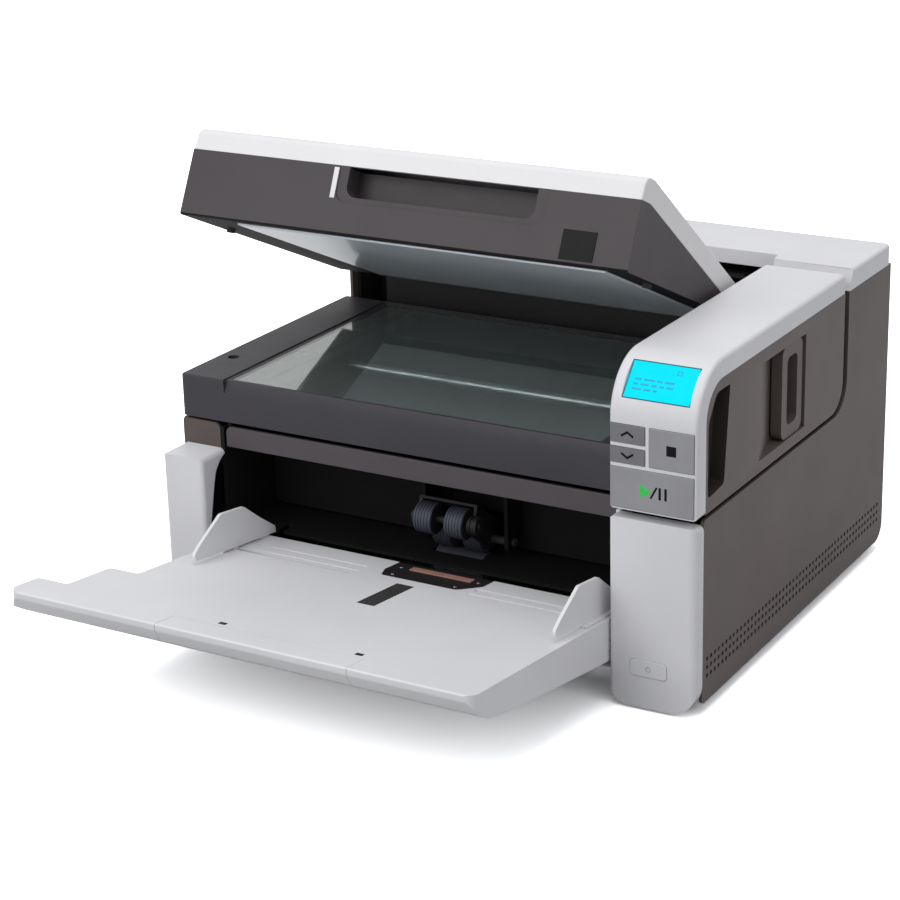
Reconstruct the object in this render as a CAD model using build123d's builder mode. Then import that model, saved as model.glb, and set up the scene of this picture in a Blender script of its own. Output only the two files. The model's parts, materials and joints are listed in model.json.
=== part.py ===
from build123d import *
import os
from math import cos, pi, radians, sin, sqrt, tan

# Document scanner: a base with a fold-down input tray, a pod that lifts for access to the paper path,
# and a flatbed lid on top of the pod. Millimetres, +Z up, -Y to the front, origin at the middle of
# the underside of the whole scanner with its tray folded down.

os.makedirs("parts", exist_ok=True)

# Overall sizes
WIDTH = 432.0
TRAY_REACH = 182.0
SEAM_Z = 140.5
PANEL_TOP = 230.5
COVER_BAND = 15.6
SKIN = 2.5
SHAFT_FIT = 0.05
GAP = 0.3

# Base casing
FOOT_HEIGHT = 6.0
FOOT_RADIUS = 12.0
FOOT_INSET = 36.0
FRONT_FOOT = 62.0
REAR_FOOT = 32.0
SKIRT_Z = 8.0
PAN_Z = 15.0
PAN_THICK = 3.0
POST_LIFT = 2.0
POST_DEPTH = 11.0
RIGHT_POST_TOP = 137.4
LEFT_POST_TOP = 121.5
LEFT_POST_WIDTH = 36.0
ARM_WIDTH = 64.0
BED_SETBACK = 28.6
VENT_PITCH = 6.2
VENT_ROWS = 3
VENT_HOLE = 1.75
VENT_Z = 26.5

# Pod
SEAM_GAP = 2.0
BED_THICK = 32.3
BED_STEP = 0.8
BED_DEPTH = 226.4
POD_TO_REAR = 92.0
GLASS_THICK = 3.0
GLASS_LEFT = 42.0
GLASS_RIGHT = 23.0
GLASS_FRONT = 6.4
GLASS_REAR = 6.0
ARM_TOP = 245.5
ARM_NOSE = 40.0
ARM_BAND = 14.2
POD_CORNER = 22.0
BAND_Z = 123.2
BAND_TALL = 15.9
HINGE_BEHIND = 51.0
HINGE_Z = 209.0
SHAFT_RADIUS = 4.0

# Paper path
PATH_Z = 57.0
PATH_GAP = 3.0
PATH_SHEET = 2.5
BAY_DEPTH = 88.0
PATH_FRONT = 44.0
ROLLER_RADIUS = 10.0
ROLLER_RISE = 1.0
ROLLER_WIDTH = 20.0
ROLLER_SPACING = 80.0
FRONT_ROLLER = 120.0
ROLLER_TO_WALL = 55.0
TURN_GAP = 6.0
TURN_CLEAR = 9.0
EXIT_Z = 227.5

# Input tray
TRAY_TILT = 6.57
TRAY_AXIS_SETBACK = 5.0
TRAY_AXIS_Z = 41.0
TRAY_RISE = 20.0
TRAY_REAR = 22.5
TRAY_SKIN = 2.5
TRAY_TO_ARM = 1.0
TRAY_INSET = 52.0
WING_INSET = 2.0
TRAY_PIN = 4.0
GUIDE_X = 144.0
GUIDE_THICK = 2.5

# Lid
LID_OPEN = 24.4
LID_TO_ARM = 6.0
LID_SKIN = 2.5
LID_FRONT_TOP = 241.3
LID_CAP = 16.7
LID_SLOPE = 13.9
LID_FLAT = 46.5
LID_PAST_POD = 5.0

# Values that follow from the sizes above
HALF = WIDTH / 2
DEPTH = BED_SETBACK + BED_DEPTH + POD_TO_REAR
FRONT = (TRAY_REACH - DEPTH) / 2
REAR = FRONT + DEPTH
INSIDE = HALF - SKIN
PAN_TOP = PAN_Z + PAN_THICK
ARM_LEFT = HALF - ARM_WIDTH
POST_RIGHT = LEFT_POST_WIDTH - HALF
TRAY_RIGHT = ARM_LEFT - TRAY_TO_ARM
TRAY_LEFT = TRAY_INSET - HALF
TRAY_WING = WING_INSET - HALF
LID_RIGHT = ARM_LEFT - LID_TO_ARM


def deep(distance):
    """Y of a place that lies this far behind the posts' front faces."""
    return FRONT + distance


BED_FRONT = deep(BED_SETBACK)
POD_REAR = BED_FRONT + BED_DEPTH
STEP_Y = POD_REAR + 7
WALL_Y = POD_REAR + 15
COVER_Y = WALL_Y + 10
HINGE_Y = POD_REAR + HINGE_BEHIND
BED_Z = SEAM_Z + SEAM_GAP
BED_TOP = BED_Z + BED_THICK
COVER_TOP = PANEL_TOP + COVER_BAND
BAY_LEFT = POST_RIGHT + 0.5
CHEEK = 2.5
POD_SIDE_GAP = 2.0
DIP_LEFT = BAY_LEFT + POD_SIDE_GAP
DIP_RIGHT = ARM_LEFT - POD_SIDE_GAP
POD_PATH_Z = PATH_Z + PATH_GAP
ROLLER_YS = (deep(FRONT_ROLLER), WALL_Y - ROLLER_TO_WALL)
ROLLER_Z = PATH_Z + ROLLER_RISE - ROLLER_RADIUS
ROLLER_XS = [(DIP_LEFT + DIP_RIGHT) / 2 + ROLLER_SPACING * (i - 1.5) for i in range(4)]
HINGE_AXIS = Axis((0, HINGE_Y, HINGE_Z), (1, 0, 0))


def block(x, y, z, mode=Mode.ADD):
    """Add a box given by its limits along X, Y and Z."""
    with Locations(((x[0] + x[1]) / 2, (y[0] + y[1]) / 2, (z[0] + z[1]) / 2)):
        Box(x[1] - x[0], y[1] - y[0], z[1] - z[0], mode=mode)


def prism(plane, depth, corners, mode=Mode.ADD):
    """Push out an outline; each corner is across, up and, where it is round, its radius."""
    with BuildSketch(plane) as profile:
        with BuildLine():
            radii = [corner[2] if len(corner) > 2 else 0 for corner in corners]
            FilletPolyline(*[corner[:2] for corner in corners], radius=radii, close=True)
        make_face()
    extrude(profile.sketch, amount=depth, mode=mode)


def side_prism(x, corners, mode=Mode.ADD):
    """Push an outline in Y and Z along X, between two limits."""
    prism(Plane.YZ.offset(x[0]), x[1] - x[0], corners, mode)


def front_prism(y, corners, mode=Mode.ADD):
    """Push an outline in X and Z along Y, between two limits."""
    prism(Plane.XZ.offset(-y[0]), y[0] - y[1], corners, mode)


def plan_prism(z, corners, mode=Mode.ADD):
    """Push an outline in X and Y upwards, between two limits."""
    prism(Plane.XY.offset(z[0]), z[1] - z[0], corners, mode)


def disc(plane, depth, places, radius, mode=Mode.ADD):
    """Push out circles of one radius at places on a plane."""
    with BuildSketch(plane) as profile:
        with Locations(*places):
            Circle(radius)
    extrude(profile.sketch, amount=depth, mode=mode)


def rod(x, y, z, radius, mode=Mode.ADD):
    """Add a round bar along X between two limits."""
    disc(Plane.YZ.offset(x[0]), x[1] - x[0], [(y, z)], radius, mode)


def rectangle(x, y, radius=0):
    """Corners of a rectangle between two pairs of limits."""
    return [(x[0], y[0], radius), (x[1], y[0], radius), (x[1], y[1], radius), (x[0], y[1], radius)]


def save(piece, name):
    """Label a finished piece and write it."""
    piece.label = name
    export_step(piece, f"parts/{name}.step")


# Bottom pan with its four foot pedestals and board standoffs
PAN_FRONT = deep(12)
TRAY_WELL = deep(47)
FOOT_YS = (deep(FRONT_FOOT), REAR - REAR_FOOT)
FOOT_PLACES = [(sx * (HALF - FOOT_INSET), y) for sx in (-1, 1) for y in FOOT_YS]
STANDOFF_PLACES = [(x, y) for x in (-140, 80) for y in (deep(90), deep(195), REAR - 22)]
SCREW_PLACES = [(sx * 130, y) for sx in (-1, 1) for y in (deep(80), deep(180), REAR - 22)]
BOARD_Z = 24.0
STANDOFF_RADIUS = 3.0
SCREW_RADIUS = 1.5
SCREW_HEAD = 3.5
with BuildPart() as bottom_chassis:
    block((-INSIDE, INSIDE), (PAN_FRONT, REAR - SKIN), (PAN_Z, PAN_TOP))
    block((BAY_LEFT, ARM_LEFT), (PAN_FRONT - 1, TRAY_WELL), (PAN_Z - 1, PAN_TOP + 1), Mode.SUBTRACT)
    block((-HALF, BAY_LEFT + 1), (PAN_FRONT - 1, BED_FRONT), (PAN_Z - 1, PAN_TOP + 1), Mode.SUBTRACT)
    disc(Plane.XY.offset(FOOT_HEIGHT), PAN_Z - FOOT_HEIGHT, FOOT_PLACES, FOOT_RADIUS + 2)
    disc(Plane.XY.offset(PAN_TOP), BOARD_Z - PAN_TOP, STANDOFF_PLACES, STANDOFF_RADIUS)
    disc(Plane.XY.offset(PAN_Z), PAN_THICK, SCREW_PLACES, SCREW_RADIUS, Mode.SUBTRACT)
    with BuildSketch(Plane.XY.offset(PAN_Z)) as slots:
        with Locations((-30, deep(240))):
            with GridLocations(0, 12, 1, 6):
                SlotOverall(120, 5)
    extrude(slots.sketch, amount=PAN_THICK, mode=Mode.SUBTRACT)
save(bottom_chassis.part, "bottom_chassis")

with BuildPart() as rubber_feet:
    disc(Plane.XY, FOOT_HEIGHT, FOOT_PLACES, FOOT_RADIUS)
    chamfer(rubber_feet.edges().group_by(Axis.Z)[0], 1)
save(rubber_feet.part, "rubber_feet")

with BuildPart() as casing_screws:
    disc(Plane.XY.offset(PAN_Z - 1.6), 1.6, SCREW_PLACES, SCREW_HEAD)
    disc(Plane.XY.offset(PAN_Z), PAN_THICK + 2, SCREW_PLACES, SCREW_RADIUS)
save(casing_screws.part, "casing_screws")

# Side panels, with rows of vents along their lower edges
VENT_FRONT = 15.5
VENT_REAR = 9.0


def side_panel(x, front):
    """A side panel between two X limits; its upper corner nests round the pod's lower rear corner."""
    corners = [
        (front, SKIRT_Z, 3),
        (REAR, SKIRT_Z, 14),
        (REAR, PANEL_TOP),
        (STEP_Y, PANEL_TOP),
        (STEP_Y, SEAM_Z, POD_CORNER + SEAM_GAP),
        (front, SEAM_Z, 3),
    ]
    side_prism(x, corners)
    start = front + VENT_FRONT - POST_DEPTH
    count = int((REAR - VENT_REAR - start) / VENT_PITCH)
    middle = ((start + REAR - VENT_REAR) / 2, VENT_Z + VENT_PITCH)
    with BuildSketch(Plane.YZ.offset(x[0])) as vents:
        with Locations(middle):
            with GridLocations(VENT_PITCH, VENT_PITCH, count, VENT_ROWS):
                RegularPolygon(VENT_HOLE, 8)
    extrude(vents.sketch, amount=x[1] - x[0], mode=Mode.SUBTRACT)


with BuildPart() as right_side_panel:
    side_panel((INSIDE, HALF), deep(POST_DEPTH))
save(right_side_panel.part, "right_side_panel")

with BuildPart() as left_side_panel:
    side_panel((-HALF, -INSIDE), BED_FRONT)
    shoulder = [
        (-INSIDE, LEFT_POST_TOP - 10),
        (POST_RIGHT - 2.8, LEFT_POST_TOP - 10),
        (POST_RIGHT - 2.8, SEAM_Z, 5),
        (-INSIDE, SEAM_Z),
    ]
    front_prism((BED_FRONT, BED_FRONT + SKIN), shoulder)
save(left_side_panel.part, "left_side_panel")

# Front posts
POST_SKIN = 3.0
POST_TOP_ROUND = 4.0
POST_EDGE = 6.5
POWER_X = (HALF - 48.6, HALF - 20.9)
POWER_Z = (25.0, 37.6)
with BuildPart() as right_front_post:
    plan = [
        (ARM_LEFT, FRONT, 3),
        (HALF, FRONT, POST_EDGE),
        (HALF, deep(POST_DEPTH)),
        (ARM_LEFT, deep(POST_DEPTH)),
    ]
    plan_prism((POST_LIFT, RIGHT_POST_TOP), plan)
    face = [
        (ARM_LEFT, POST_LIFT, 14),
        (HALF, POST_LIFT, 20),
        (HALF, RIGHT_POST_TOP, POST_TOP_ROUND),
        (ARM_LEFT, RIGHT_POST_TOP, POST_TOP_ROUND),
    ]
    front_prism((FRONT, deep(POST_DEPTH)), face, Mode.INTERSECT)
    hollow = [
        (ARM_LEFT + POST_SKIN, POST_LIFT + POST_SKIN, 11),
        (HALF - POST_SKIN, POST_LIFT + POST_SKIN, 17),
        (HALF - POST_SKIN, RIGHT_POST_TOP - POST_SKIN),
        (ARM_LEFT + POST_SKIN, RIGHT_POST_TOP - POST_SKIN),
    ]
    front_prism((deep(POST_SKIN + 1.5), deep(POST_DEPTH)), hollow, Mode.SUBTRACT)
    block((ARM_LEFT, ARM_LEFT + POST_SKIN), (deep(POST_DEPTH), BED_FRONT), (30, RIGHT_POST_TOP))
    front_prism((FRONT, deep(POST_DEPTH)), rectangle(POWER_X, POWER_Z, 3), Mode.SUBTRACT)
save(right_front_post.part, "right_front_post")

BUTTON_GAP = 0.3
with BuildPart() as power_button:
    x = (POWER_X[0] + BUTTON_GAP, POWER_X[1] - BUTTON_GAP)
    z = (POWER_Z[0] + BUTTON_GAP, POWER_Z[1] - BUTTON_GAP)
    front_prism((FRONT - 0.5, deep(6.5)), rectangle(x, z, 3 - BUTTON_GAP))
save(power_button.part, "power_button")

with BuildPart() as left_front_post:
    plan = [(-HALF, FRONT, 5), (POST_RIGHT, FRONT, 3.5), (POST_RIGHT, BED_FRONT), (-HALF, BED_FRONT)]
    plan_prism((POST_LIFT, LEFT_POST_TOP), plan)
    face = [
        (-HALF, POST_LIFT, 12),
        (POST_RIGHT, POST_LIFT, 12),
        (POST_RIGHT, LEFT_POST_TOP, POST_TOP_ROUND),
        (-HALF, LEFT_POST_TOP, POST_TOP_ROUND),
    ]
    front_prism((FRONT, BED_FRONT), face, Mode.INTERSECT)
    hollow = [
        (-HALF + POST_SKIN, POST_LIFT + POST_SKIN, 9),
        (POST_RIGHT - POST_SKIN, POST_LIFT + POST_SKIN, 9),
        (POST_RIGHT - POST_SKIN, LEFT_POST_TOP - POST_SKIN),
        (-HALF + POST_SKIN, LEFT_POST_TOP - POST_SKIN),
    ]
    front_prism((deep(POST_SKIN), BED_FRONT), hollow, Mode.SUBTRACT)
    flare = [
        (BED_FRONT + 1, LEFT_POST_TOP - 3.5),
        (deep(23.6), 115.2, 8),
        (deep(16.5), 107.6, 12),
        (deep(13.9), 98.4, 12),
        (deep(6.9), 67.6, 8),
        (deep(12), 52, 3),
        (deep(12), POST_LIFT - 1),
        (BED_FRONT + 1, POST_LIFT - 1),
    ]
    side_prism((POST_RIGHT - POST_SKIN, POST_RIGHT + 1), flare, Mode.SUBTRACT)
save(left_front_post.part, "left_front_post")

with BuildPart() as tray_hinge_pins:
    rod((POST_RIGHT, TRAY_LEFT + 6), deep(TRAY_AXIS_SETBACK), TRAY_AXIS_Z, TRAY_PIN)
    rod((TRAY_RIGHT - 6, ARM_LEFT), deep(TRAY_AXIS_SETBACK), TRAY_AXIS_Z, TRAY_PIN)
save(tray_hinge_pins.part, "tray_hinge_pins")

# Rear shell with its door opening, fan grille and socket holes
DOOR_INSET = 66.0
DOOR_X = (DOOR_INSET - HALF, HALF - DOOR_INSET)
DOOR_Z = (140.0, 190.0)
DOOR_PIN = 0.9
INLET_X = (HALF - 56, HALF - 28)
INLET_Z = (28.0, 49.0)
USB_X = (100.0, 113.0)
FAN_SIZE = 38.0
FAN_X = 25.5 - HALF
FAN_Z = 79.0
FAN_DEPTH = 15.0
DOOR_AXIS_Y = REAR - SKIN / 2
DOOR_AXIS_Z = DOOR_Z[0] + GAP + SKIN / 2
with BuildPart() as rear_shell:
    block((-INSIDE, INSIDE), (REAR - SKIN, REAR), (PAN_Z, PANEL_TOP))
    block(DOOR_X, (REAR - SKIN - 1, REAR + 1), DOOR_Z, Mode.SUBTRACT)
    rod((DOOR_X[0] - 3, DOOR_X[1] + 3), DOOR_AXIS_Y, DOOR_AXIS_Z, DOOR_PIN + SHAFT_FIT, Mode.SUBTRACT)
    block(INLET_X, (REAR - SKIN - 1, REAR + 1), INLET_Z, Mode.SUBTRACT)
    block(USB_X, (REAR - SKIN - 1, REAR + 1), (BOARD_Z + 1.6, BOARD_Z + 13), Mode.SUBTRACT)
    with BuildSketch(Plane.XZ.offset(-REAR)) as grille:
        with Locations((FAN_X, FAN_Z)):
            with GridLocations(0, 5, 1, 6):
                SlotOverall(30, 2.6)
    extrude(grille.sketch, amount=SKIN, mode=Mode.SUBTRACT)
save(rear_shell.part, "rear_shell")

with BuildPart() as rear_exit_door:
    leaf = [
        (REAR - SKIN, DOOR_Z[0] + GAP, SKIN / 2 - 0.01),
        (REAR, DOOR_Z[0] + GAP, SKIN / 2 - 0.01),
        (REAR, DOOR_Z[1] - GAP),
        (REAR - SKIN, DOOR_Z[1] - GAP),
    ]
    side_prism((DOOR_X[0] + GAP, DOOR_X[1] - GAP), leaf)
    rod((DOOR_X[0] - 2.8, DOOR_X[1] + 2.8), DOOR_AXIS_Y, DOOR_AXIS_Z, DOOR_PIN)
    grip = rectangle((-20, 20), (DOOR_Z[1] - 14, DOOR_Z[1] - 6), 3)
    front_prism((REAR - 1, REAR), grip, Mode.SUBTRACT)
save(rear_exit_door.part, "rear_exit_door")

with BuildPart() as fan_frame:
    half_fan = FAN_SIZE / 2
    fan_y = (REAR - SKIN - FAN_DEPTH, REAR - SKIN)
    sides = rectangle((FAN_X - half_fan, FAN_X + half_fan), (FAN_Z - half_fan, FAN_Z + half_fan), 3)
    front_prism(fan_y, sides)
    disc(Plane.XZ.offset(-fan_y[1]), FAN_DEPTH, [(FAN_X, FAN_Z)], half_fan - 1.2, Mode.SUBTRACT)
    reach = half_fan - 0.6
    strut_y = (fan_y[0], fan_y[0] + 2)
    block((FAN_X - reach, FAN_X + reach), strut_y, (FAN_Z - 1.5, FAN_Z + 1.5))
    block((FAN_X - 1.5, FAN_X + 1.5), strut_y, (FAN_Z - reach, FAN_Z + reach))
    disc(Plane.XZ.offset(-fan_y[0] - 2), 2, [(FAN_X, FAN_Z)], 7)
    disc(Plane.XZ.offset(-fan_y[1] + 2), fan_y[1] - fan_y[0] - 4, [(FAN_X, FAN_Z)], 1.5)
save(fan_frame.part, "fan_frame")

FAN_BLADES = 7
with BuildPart() as fan_rotor:
    back_plane = Plane.XZ.offset(-fan_y[1] + 2.5)
    disc(back_plane, FAN_DEPTH - 5.5, [(FAN_X, FAN_Z)], 7)
    with BuildSketch(back_plane) as blades:
        with Locations((FAN_X, FAN_Z)):
            with PolarLocations(11.5, FAN_BLADES):
                Rectangle(10, 2.4)
    extrude(blades.sketch, amount=FAN_DEPTH - 7)
    disc(back_plane, FAN_DEPTH, [(FAN_X, FAN_Z)], 1.5 + SHAFT_FIT, Mode.SUBTRACT)
save(fan_rotor.part, "fan_rotor")

# Rear top cover, set back in the middle and on the left so that the lid can swing past it
COVER_SKIN = 3.0
COVER_RIGHT_FRONT = POD_REAR + 13
EXIT_TOP = 235.0
with BuildPart() as rear_top_cover:
    plan = [
        (-HALF, COVER_Y),
        (ARM_LEFT, COVER_Y),
        (ARM_LEFT + 2, COVER_RIGHT_FRONT),
        (HALF, COVER_RIGHT_FRONT),
        (HALF, REAR, 6),
        (-HALF, REAR, 6),
    ]
    plan_prism((PANEL_TOP, COVER_TOP), plan)
    fillet(rear_top_cover.edges().group_by(Axis.Z)[-1].sort_by(Axis.Y)[-3:], 2.5)
    brow = [
        (STEP_Y + 0.5, PANEL_TOP),
        (COVER_RIGHT_FRONT + 1, PANEL_TOP),
        (COVER_RIGHT_FRONT + 1, COVER_TOP - 1),
        (COVER_RIGHT_FRONT, COVER_TOP - 1),
    ]
    side_prism((ARM_LEFT + 2, HALF), brow)
    plan = [
        (-HALF + COVER_SKIN, COVER_Y + COVER_SKIN),
        (ARM_LEFT + 5, COVER_Y + COVER_SKIN),
        (ARM_LEFT + 5, COVER_RIGHT_FRONT + COVER_SKIN),
        (HALF - COVER_SKIN, COVER_RIGHT_FRONT + COVER_SKIN),
        (HALF - COVER_SKIN, REAR - COVER_SKIN, 4),
        (-HALF + COVER_SKIN, REAR - COVER_SKIN, 4),
    ]
    plan_prism((PANEL_TOP - 1, COVER_TOP - COVER_SKIN), plan, Mode.SUBTRACT)
    mouth_y = (COVER_Y - 1, COVER_Y + COVER_SKIN)
    block((-HALF + 12, ARM_LEFT), mouth_y, (PANEL_TOP - 1, EXIT_TOP), Mode.SUBTRACT)
save(rear_top_cover.part, "rear_top_cover")

# Rear frame: the black wall behind the pod, outer cheeks for the hinge shaft, inner cheeks for the turn
POD_ARM_X = (HALF - 17, HALF - 7)
LID_ARMS = ((20 - HALF, 28 - HALF), (ARM_LEFT - 24, ARM_LEFT - 16))
CHEEK_REAR = REAR - 19
INNER_CHEEKS = ((BAY_LEFT + 9.5, BAY_LEFT + 12), (ARM_LEFT - 1, ARM_LEFT + 1.5))
WALL_TOP = 219.0
EXIT_ROLLER_Y = WALL_Y + 21
EXIT_ROLLER_RADIUS = 6.0
EXIT_ROLLER_Z = EXIT_Z + 0.7 - EXIT_ROLLER_RADIUS
EXIT_SHAFT = 2.5
ARM_CLEAR = 2.0
COVER_UNDER = COVER_TOP - COVER_SKIN
with BuildPart() as rear_frame:
    block((-INSIDE, INSIDE), (WALL_Y, WALL_Y + SKIN), (PAN_TOP, WALL_TOP))
    block((INNER_CHEEKS[1][0], INSIDE), (WALL_Y, WALL_Y + SKIN), (WALL_TOP, PANEL_TOP))
    for side in (-1, 1):
        cheek = sorted((side * (INSIDE - SKIN), side * INSIDE))
        block(cheek, (WALL_Y + SKIN, CHEEK_REAR), (PAN_TOP, PANEL_TOP))
    for cheek in INNER_CHEEKS:
        block(cheek, (WALL_Y, REAR - SKIN), (PAN_TOP, PANEL_TOP))
        block(cheek, (COVER_Y + COVER_SKIN, REAR - COVER_SKIN), (PANEL_TOP, COVER_UNDER))
        through = (cheek[0] - 1, cheek[1] + 1)
        rod(through, HINGE_Y, HINGE_Z, SHAFT_RADIUS + 2, Mode.SUBTRACT)
        rod(through, EXIT_ROLLER_Y, EXIT_ROLLER_Z, EXIT_SHAFT + SHAFT_FIT, Mode.SUBTRACT)
    rod((-INSIDE, -INSIDE + SKIN), HINGE_Y, HINGE_Z, SHAFT_RADIUS + SHAFT_FIT, Mode.SUBTRACT)
    rod((INSIDE - SKIN, INSIDE), HINGE_Y, HINGE_Z, SHAFT_RADIUS + SHAFT_FIT, Mode.SUBTRACT)
    slot_y = (WALL_Y - 1, WALL_Y + SKIN + 0.01)
    block((INNER_CHEEKS[0][1], INNER_CHEEKS[1][0]), slot_y, (PATH_Z - 4, PATH_Z + 6), Mode.SUBTRACT)
    block((-150, 140), slot_y, (PAN_TOP - 1, BOARD_Z + 16), Mode.SUBTRACT)
    left_slot = (-POD_ARM_X[1] - ARM_CLEAR, LID_ARMS[0][1] + ARM_CLEAR)
    block(left_slot, slot_y, (BED_Z, WALL_TOP + 1), Mode.SUBTRACT)
    right_slot = (LID_ARMS[1][0] - ARM_CLEAR, LID_ARMS[1][1] + ARM_CLEAR)
    block(right_slot, slot_y, (174, WALL_TOP + 1), Mode.SUBTRACT)
    block((POD_ARM_X[0] - ARM_CLEAR, POD_ARM_X[1] + ARM_CLEAR), slot_y, (BED_Z, 172), Mode.SUBTRACT)
save(rear_frame.part, "rear_frame")

# Turn guides that lead paper from the flat path up and forward to the exit slot
GUIDE_SHEET = 2.0
EXIT_TYRES = [(DIP_LEFT + DIP_RIGHT) / 2 + 70 * (i - 1.5) for i in range(4)]
EXIT_TYRE_WIDTH = 12.0


def turn_sheet(far, low, high, lip, low_round, high_round):
    """Corners of a bent sheet that runs back at one height, up, and forward again at another."""
    near = WALL_Y + SKIN
    inner_low = max(low_round - GUIDE_SHEET, 1)
    inner_high = max(high_round - GUIDE_SHEET, 1)
    return [
        (near, low),
        (far, low, low_round),
        (far, high, high_round),
        (lip, high),
        (lip, high - GUIDE_SHEET),
        (far - GUIDE_SHEET, high - GUIDE_SHEET, inner_high),
        (far - GUIDE_SHEET, low + GUIDE_SHEET, inner_low),
        (near, low + GUIDE_SHEET),
    ]


TURN_X = (INNER_CHEEKS[0][1], INNER_CHEEKS[1][0])
TURN_REAR = REAR - TURN_CLEAR
OUTER_TOP = EXIT_Z + TURN_GAP + GUIDE_SHEET
with BuildPart() as turn_guides:
    outer = turn_sheet(TURN_REAR + GUIDE_SHEET, PATH_Z - 3, OUTER_TOP, COVER_Y + COVER_SKIN + 0.5, 52, 35)
    side_prism(TURN_X, outer)
    inner = turn_sheet(TURN_REAR - TURN_GAP, PATH_Z + 3, EXIT_Z, WALL_Y + 6, 44, 27)
    side_prism(TURN_X, inner)
    for x in EXIT_TYRES:
        tyre_slot = (x - EXIT_TYRE_WIDTH / 2 - 1, x + EXIT_TYRE_WIDTH / 2 + 1)
        slot_y = (EXIT_ROLLER_Y - 6.5, EXIT_ROLLER_Y + 6.5)
        block(tyre_slot, slot_y, (EXIT_Z - GUIDE_SHEET - 0.5, EXIT_Z + 0.5), Mode.SUBTRACT)
    lid_arm = (LID_ARMS[1][0] - ARM_CLEAR, LID_ARMS[1][1] + ARM_CLEAR)
    block(lid_arm, (WALL_Y, WALL_Y + 15), (EXIT_Z - GUIDE_SHEET - 0.5, EXIT_Z + 0.5), Mode.SUBTRACT)
save(turn_guides.part, "turn_guides")

with BuildPart() as exit_roller:
    rod((INNER_CHEEKS[0][0], INNER_CHEEKS[1][1]), EXIT_ROLLER_Y, EXIT_ROLLER_Z, EXIT_SHAFT)
    for x in EXIT_TYRES:
        tyre = (x - EXIT_TYRE_WIDTH / 2, x + EXIT_TYRE_WIDTH / 2)
        rod(tyre, EXIT_ROLLER_Y, EXIT_ROLLER_Z, EXIT_ROLLER_RADIUS)
save(exit_roller.part, "exit_roller")

# Transport frame: two cheeks joined by the lower paper guide, with brackets for the separation roller
SEPARATOR_Y = deep(74)
SEPARATOR_RADIUS = 11.0
SEPARATOR_SHAFT = 3.0
SEPARATOR_X = (-23.0, 17.0)
SEPARATOR_Z = PATH_Z + ROLLER_RISE - SEPARATOR_RADIUS
CHEEK_TOP = SEAM_Z - 2.5
SENSOR_HALF = 18.0
SENSOR_MIDDLE = (ROLLER_YS[0] + ROLLER_YS[1]) / 2
SENSOR_Y = (SENSOR_MIDDLE - SENSOR_HALF, SENSOR_MIDDLE + SENSOR_HALF)
SENSOR_X = (DIP_LEFT + 19.5, DIP_RIGHT - 17)
SENSOR_GLASS = 8.0
MOTOR_Y = WALL_Y - 27
MOTOR_Z = 37.0
MOTOR_RADIUS = 16.0
PULLEY_X = (ARM_LEFT + 4, ARM_LEFT + 10)
PULLEY_RADIUS = 8.0
MOTOR_PULLEY = 6.0
FIN_CLEAR = 1.5
FIN_NOTCH = 58.0
with BuildPart() as transport_frame:
    for cheek in ((BAY_LEFT - CHEEK, BAY_LEFT), (ARM_LEFT, ARM_LEFT + CHEEK)):
        side_prism(cheek, rectangle((BED_FRONT, WALL_Y), (PAN_TOP, CHEEK_TOP)))
        for y in ROLLER_YS:
            rod((cheek[0] - 1, cheek[1] + 1), y, ROLLER_Z, SHAFT_RADIUS + SHAFT_FIT, Mode.SUBTRACT)
    plate_z = (PATH_Z - PATH_SHEET, PATH_Z)
    block((BAY_LEFT, ARM_LEFT), (deep(PATH_FRONT), WALL_Y), plate_z)
    for x in (-GUIDE_X, GUIDE_X):
        notch_x = (x - GUIDE_THICK / 2 - FIN_CLEAR, x + GUIDE_THICK / 2 + FIN_CLEAR)
        block(notch_x, (deep(PATH_FRONT - 1), deep(FIN_NOTCH)), (plate_z[0] - 1, PATH_Z + 1), Mode.SUBTRACT)
    for y in ROLLER_YS:
        for x in ROLLER_XS:
            tyre_slot = (x - ROLLER_WIDTH / 2 - 1, x + ROLLER_WIDTH / 2 + 1)
            slot_y = (y - ROLLER_RADIUS, y + ROLLER_RADIUS)
            block(tyre_slot, slot_y, (PATH_Z - PATH_SHEET - 1, PATH_Z + 1), Mode.SUBTRACT)
    window_y = (SENSOR_MIDDLE - SENSOR_GLASS, SENSOR_MIDDLE + SENSOR_GLASS)
    window_x = (SENSOR_X[0] + 4, SENSOR_X[1] - 4)
    block(window_x, window_y, (PATH_Z - PATH_SHEET - 1, PATH_Z + 1), Mode.SUBTRACT)
    slot_y = (SEPARATOR_Y - SEPARATOR_RADIUS - 0.5, SEPARATOR_Y + SEPARATOR_RADIUS + 0.5)
    block((SEPARATOR_X[0] - 1, SEPARATOR_X[1] + 1), slot_y, (PATH_Z - 4, PATH_Z + 1), Mode.SUBTRACT)
    for x in ((SEPARATOR_X[0] - 4, SEPARATOR_X[0] - 1), (SEPARATOR_X[1] + 1, SEPARATOR_X[1] + 4)):
        bracket_y = (SEPARATOR_Y - 8, SEPARATOR_Y + 8)
        block(x, bracket_y, (SEPARATOR_Z - 8, PATH_Z - PATH_SHEET))
        rod((x[0] - 1, x[1] + 1), SEPARATOR_Y, SEPARATOR_Z, SEPARATOR_SHAFT + SHAFT_FIT, Mode.SUBTRACT)
    rod((ARM_LEFT - 1, ARM_LEFT + CHEEK + 1), MOTOR_Y, MOTOR_Z, 4, Mode.SUBTRACT)
save(transport_frame.part, "transport_frame")

with BuildPart() as separation_roller:
    rod((SEPARATOR_X[0] - 6, SEPARATOR_X[1] + 6), SEPARATOR_Y, SEPARATOR_Z, SEPARATOR_SHAFT)
    rod(SEPARATOR_X, SEPARATOR_Y, SEPARATOR_Z, SEPARATOR_RADIUS)
save(separation_roller.part, "separation_roller")


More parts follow.
